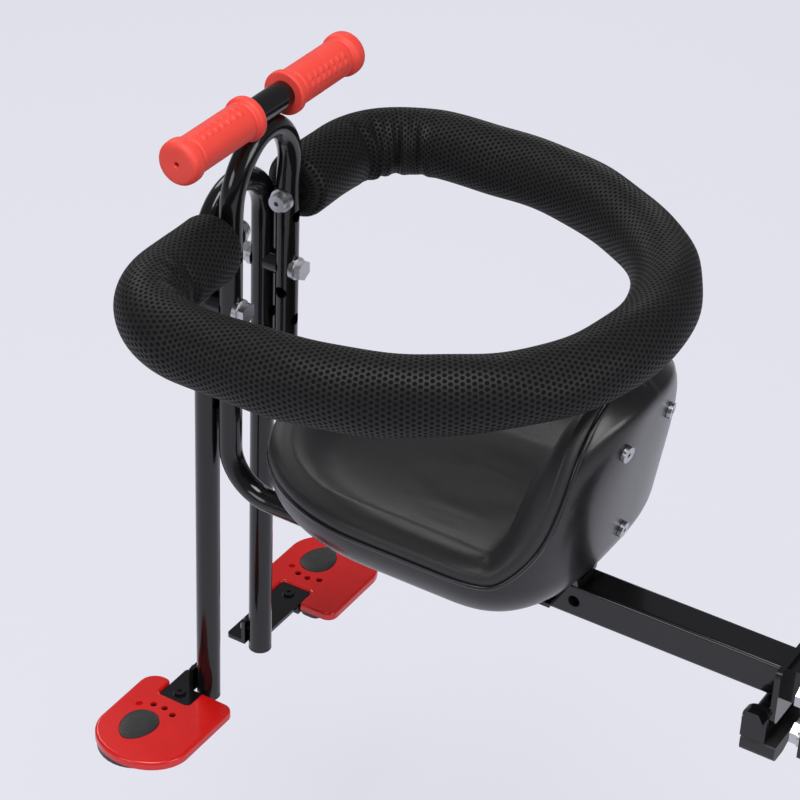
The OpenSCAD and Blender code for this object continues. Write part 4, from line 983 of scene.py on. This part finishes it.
def tread_outline(y0):
    """Inner side with the leg's notch, then half an ellipse; the last corners make way."""
    rear, front, end_r = TREAD["rear"], TREAD["front"], TREAD["end_r"]
    end_y, notch_y = y0 + TREAD["length"] - end_r, y0 + TREAD["notch"]
    inner_side = rounded_outline([
        (rear, y0, 8), (TREAD["notch_rear"], y0, 2), (TREAD["notch_rear"], notch_y, 3),
        (TREAD["notch_front"], notch_y, 3), (TREAD["notch_front"], y0, 4),
        (front, y0, 13), (front, end_y, 1), (rear, end_y, 1)])
    a = np.radians(np.linspace(4, 176, 44))
    far = np.stack([(rear + front) / 2 + (front - rear) / 2 * np.cos(a),
                    end_y + end_r * np.sin(a)], -1)
    return np.concatenate([inner_side[:-2 * ARC_POINTS], far])


def resample(loop, count):
    """The loop's corners replaced by points at even steps along it."""
    return even_points(np.concatenate([loop, loop[:1]]), count, endpoint=False)[0]


def inset_loop(loop, distance):
    """The loop moved in by a distance along its smoothed normals."""
    step = unit(np.roll(loop, -2, 0) - np.roll(loop, 2, 0))
    normal = np.stack([step[:, 1], -step[:, 0]], -1)
    area = 0.5 * (loop[:, 0] * np.roll(loop[:, 1], -1)
                  - loop[:, 1] * np.roll(loop[:, 0], -1)).sum()
    return loop - normal * distance * np.sign(area)


print("tread outline points:", [len(tread_outline(y0)) for _, _, y0 in FOOTRESTS])

# %% Rim rings, cutters and the finished treads
TREAD_Z, BASE_Z, RIM = -185.0, -191.5, 2.4
EGG = dict(x=475, y=54, half_width=12.6, half_length=16.6, widening=0.16)
TOES = [(3.5, 35), (-5.5, 30), (-14.5, 29), (-23.5, 32)]
TOE_R, TOE_DEPTH = 2.5, 2.2
CHANNEL = dict(rear=458.6, front=484.0, end=75)
OUTLINE_POINTS = 260


def solid_from_loops(name, loops):
    """Closed solid whose side is the loops and whose two ends are single faces."""
    rows, cols = loops.shape[:2]
    mesh = bpy.data.meshes.new(name)
    faces = grid_faces(rows, cols).tolist()
    faces += [list(range(cols))[::-1], list(range((rows - 1) * cols, rows * cols))]
    mesh.from_pydata((loops.reshape(-1, 3) * MM).tolist(), [], faces)
    obj = bpy.data.objects.new(name, mesh)
    bpy.context.collection.objects.link(obj)
    outward(obj)
    return obj


def at_height(loop, z):
    """Flat loop lifted to a height."""
    return np.concatenate([loop, np.full((len(loop), 1), z)], 1)


def ellipse_loop(cx, cy, a, b, count=48):
    """Points on an ellipse."""
    t = np.linspace(0, 2 * np.pi, count, endpoint=False)
    return np.stack([cx + a * np.cos(t), cy + b * np.sin(t)], -1)


def egg_loop(y0, grow, count=96):
    """Ellipse whose width grows towards the leg, as the grip pad's outline does."""
    t = np.linspace(0, 2 * np.pi, count, endpoint=False)
    wide = 1 - EGG["widening"] * np.sin(t)
    return np.stack([EGG["x"] + (EGG["half_width"] + grow) * wide * np.cos(t),
                     y0 + EGG["y"] + (EGG["half_length"] + grow) * np.sin(t)], -1)


def cut(obj, cutter):
    """Takes the cutter away from the object and throws the cutter away."""
    tool = obj.modifiers.new("cut", "BOOLEAN")
    tool.operation = "DIFFERENCE"
    tool.solver = "EXACT"
    tool.object = cutter
    shaped = bpy.data.meshes.new_from_object(
        obj.evaluated_get(bpy.context.evaluated_depsgraph_get()))
    obj.modifiers.remove(tool)
    obj.data = shaped
    bpy.data.objects.remove(cutter)


def mirrored(loops, sign):
    """The loops on the other side of the frame when the sign is negative."""
    return loops * [1, sign, 1]


for word, sign, y0 in FOOTRESTS:
    base_loop = resample(tread_outline(y0), OUTLINE_POINTS)
    quarter = np.linspace(0, np.pi / 2, 9)
    loops = [at_height(base_loop, BASE_Z)]
    loops += [at_height(inset_loop(base_loop, RIM * (1 - np.cos(a))),
                        TREAD_Z - RIM * (1 - np.sin(a))) for a in quarter]
    tread = solid_from_loops(f"tread_{word}", mirrored(np.array(loops), sign))
    channel_loop = np.array([[CHANNEL["rear"], y0 - 1], [CHANNEL["front"], y0 - 1],
                             [CHANNEL["front"], y0 + CHANNEL["end"]],
                             [CHANNEL["rear"], y0 + CHANNEL["end"]]])
    for cutter_loops in (
            [at_height(egg_loop(y0, 0.5), z) for z in (TREAD_Z - 1.0, TREAD_Z + 2)],
            *[[at_height(ellipse_loop(TREAD["notch_front"] + x, y0 + y, TOE_R, TOE_R, 28), z)
               for z in (TREAD_Z - TOE_DEPTH, TREAD_Z + 2)] for x, y in TOES],
            [at_height(channel_loop, z) for z in (BASE_Z - 1, TREAD_Z - 2)]):
        cut(tread, solid_from_loops("cutter", mirrored(np.array(cutter_loops), sign)))
    soften = tread.modifiers.new("soft_edges", "BEVEL")
    soften.width = 0.35 * MM
    soften.segments = 2
    soften.limit_method = "ANGLE"
    soften.angle_limit = np.radians(40)
    even_shading = tread.modifiers.new("even_shading", "WEIGHTED_NORMAL")
    even_shading.weight = 100
    even_shading.keep_sharp = True
    tread.data.polygons.foreach_set("use_smooth", np.ones(len(tread.data.polygons), bool))
    tread.data = bpy.data.meshes.new_from_object(
        tread.evaluated_get(bpy.context.evaluated_depsgraph_get()))
    tread.modifiers.clear()
    settle(tread, "red_tread", f"footrest_tread_{word}")

# %% [markdown]
# The grip pad on each tread is a soft dark insert, wider towards the leg. It is a dome
# over an egg-shaped outline: rings shrink to its middle while they rise, and fine ribs
# run across it, so that a shoe holds.

# %% Domed pads
SUNK, EDGE_RISE, DOME_RISE = -1.0, 0.35, 1.15
RIB_HEIGHT, RIB_PITCH = 0.12, 2.6
for word, sign, y0 in FOOTRESTS:
    shares = np.concatenate([[1.0, 1.0], np.sqrt(np.linspace(0.985, 0.0, 26))[:-1]])
    heights = np.concatenate([[SUNK, EDGE_RISE],
                              EDGE_RISE + DOME_RISE * (1 - shares[2:] ** 4)])
    outline = egg_loop(y0, 0.0)
    middle_xy = np.array([EGG["x"], y0 + EGG["y"]])
    flat = middle_xy + (outline - middle_xy)[None] * shares[:, None, None]
    wave = np.cos((flat[..., 1] - y0) * 2 * np.pi / RIB_PITCH)
    ribs = RIB_HEIGHT * wave * (shares[:, None] < 0.9)
    z = TREAD_Z + heights[:, None] + ribs
    pad_loops = np.concatenate([flat, z[..., None]], -1)
    settle(closed_tube(f"foot_pad_{word}", mirrored(pad_loops, sign)), "nylon",
           f"footrest_pad_{word}")
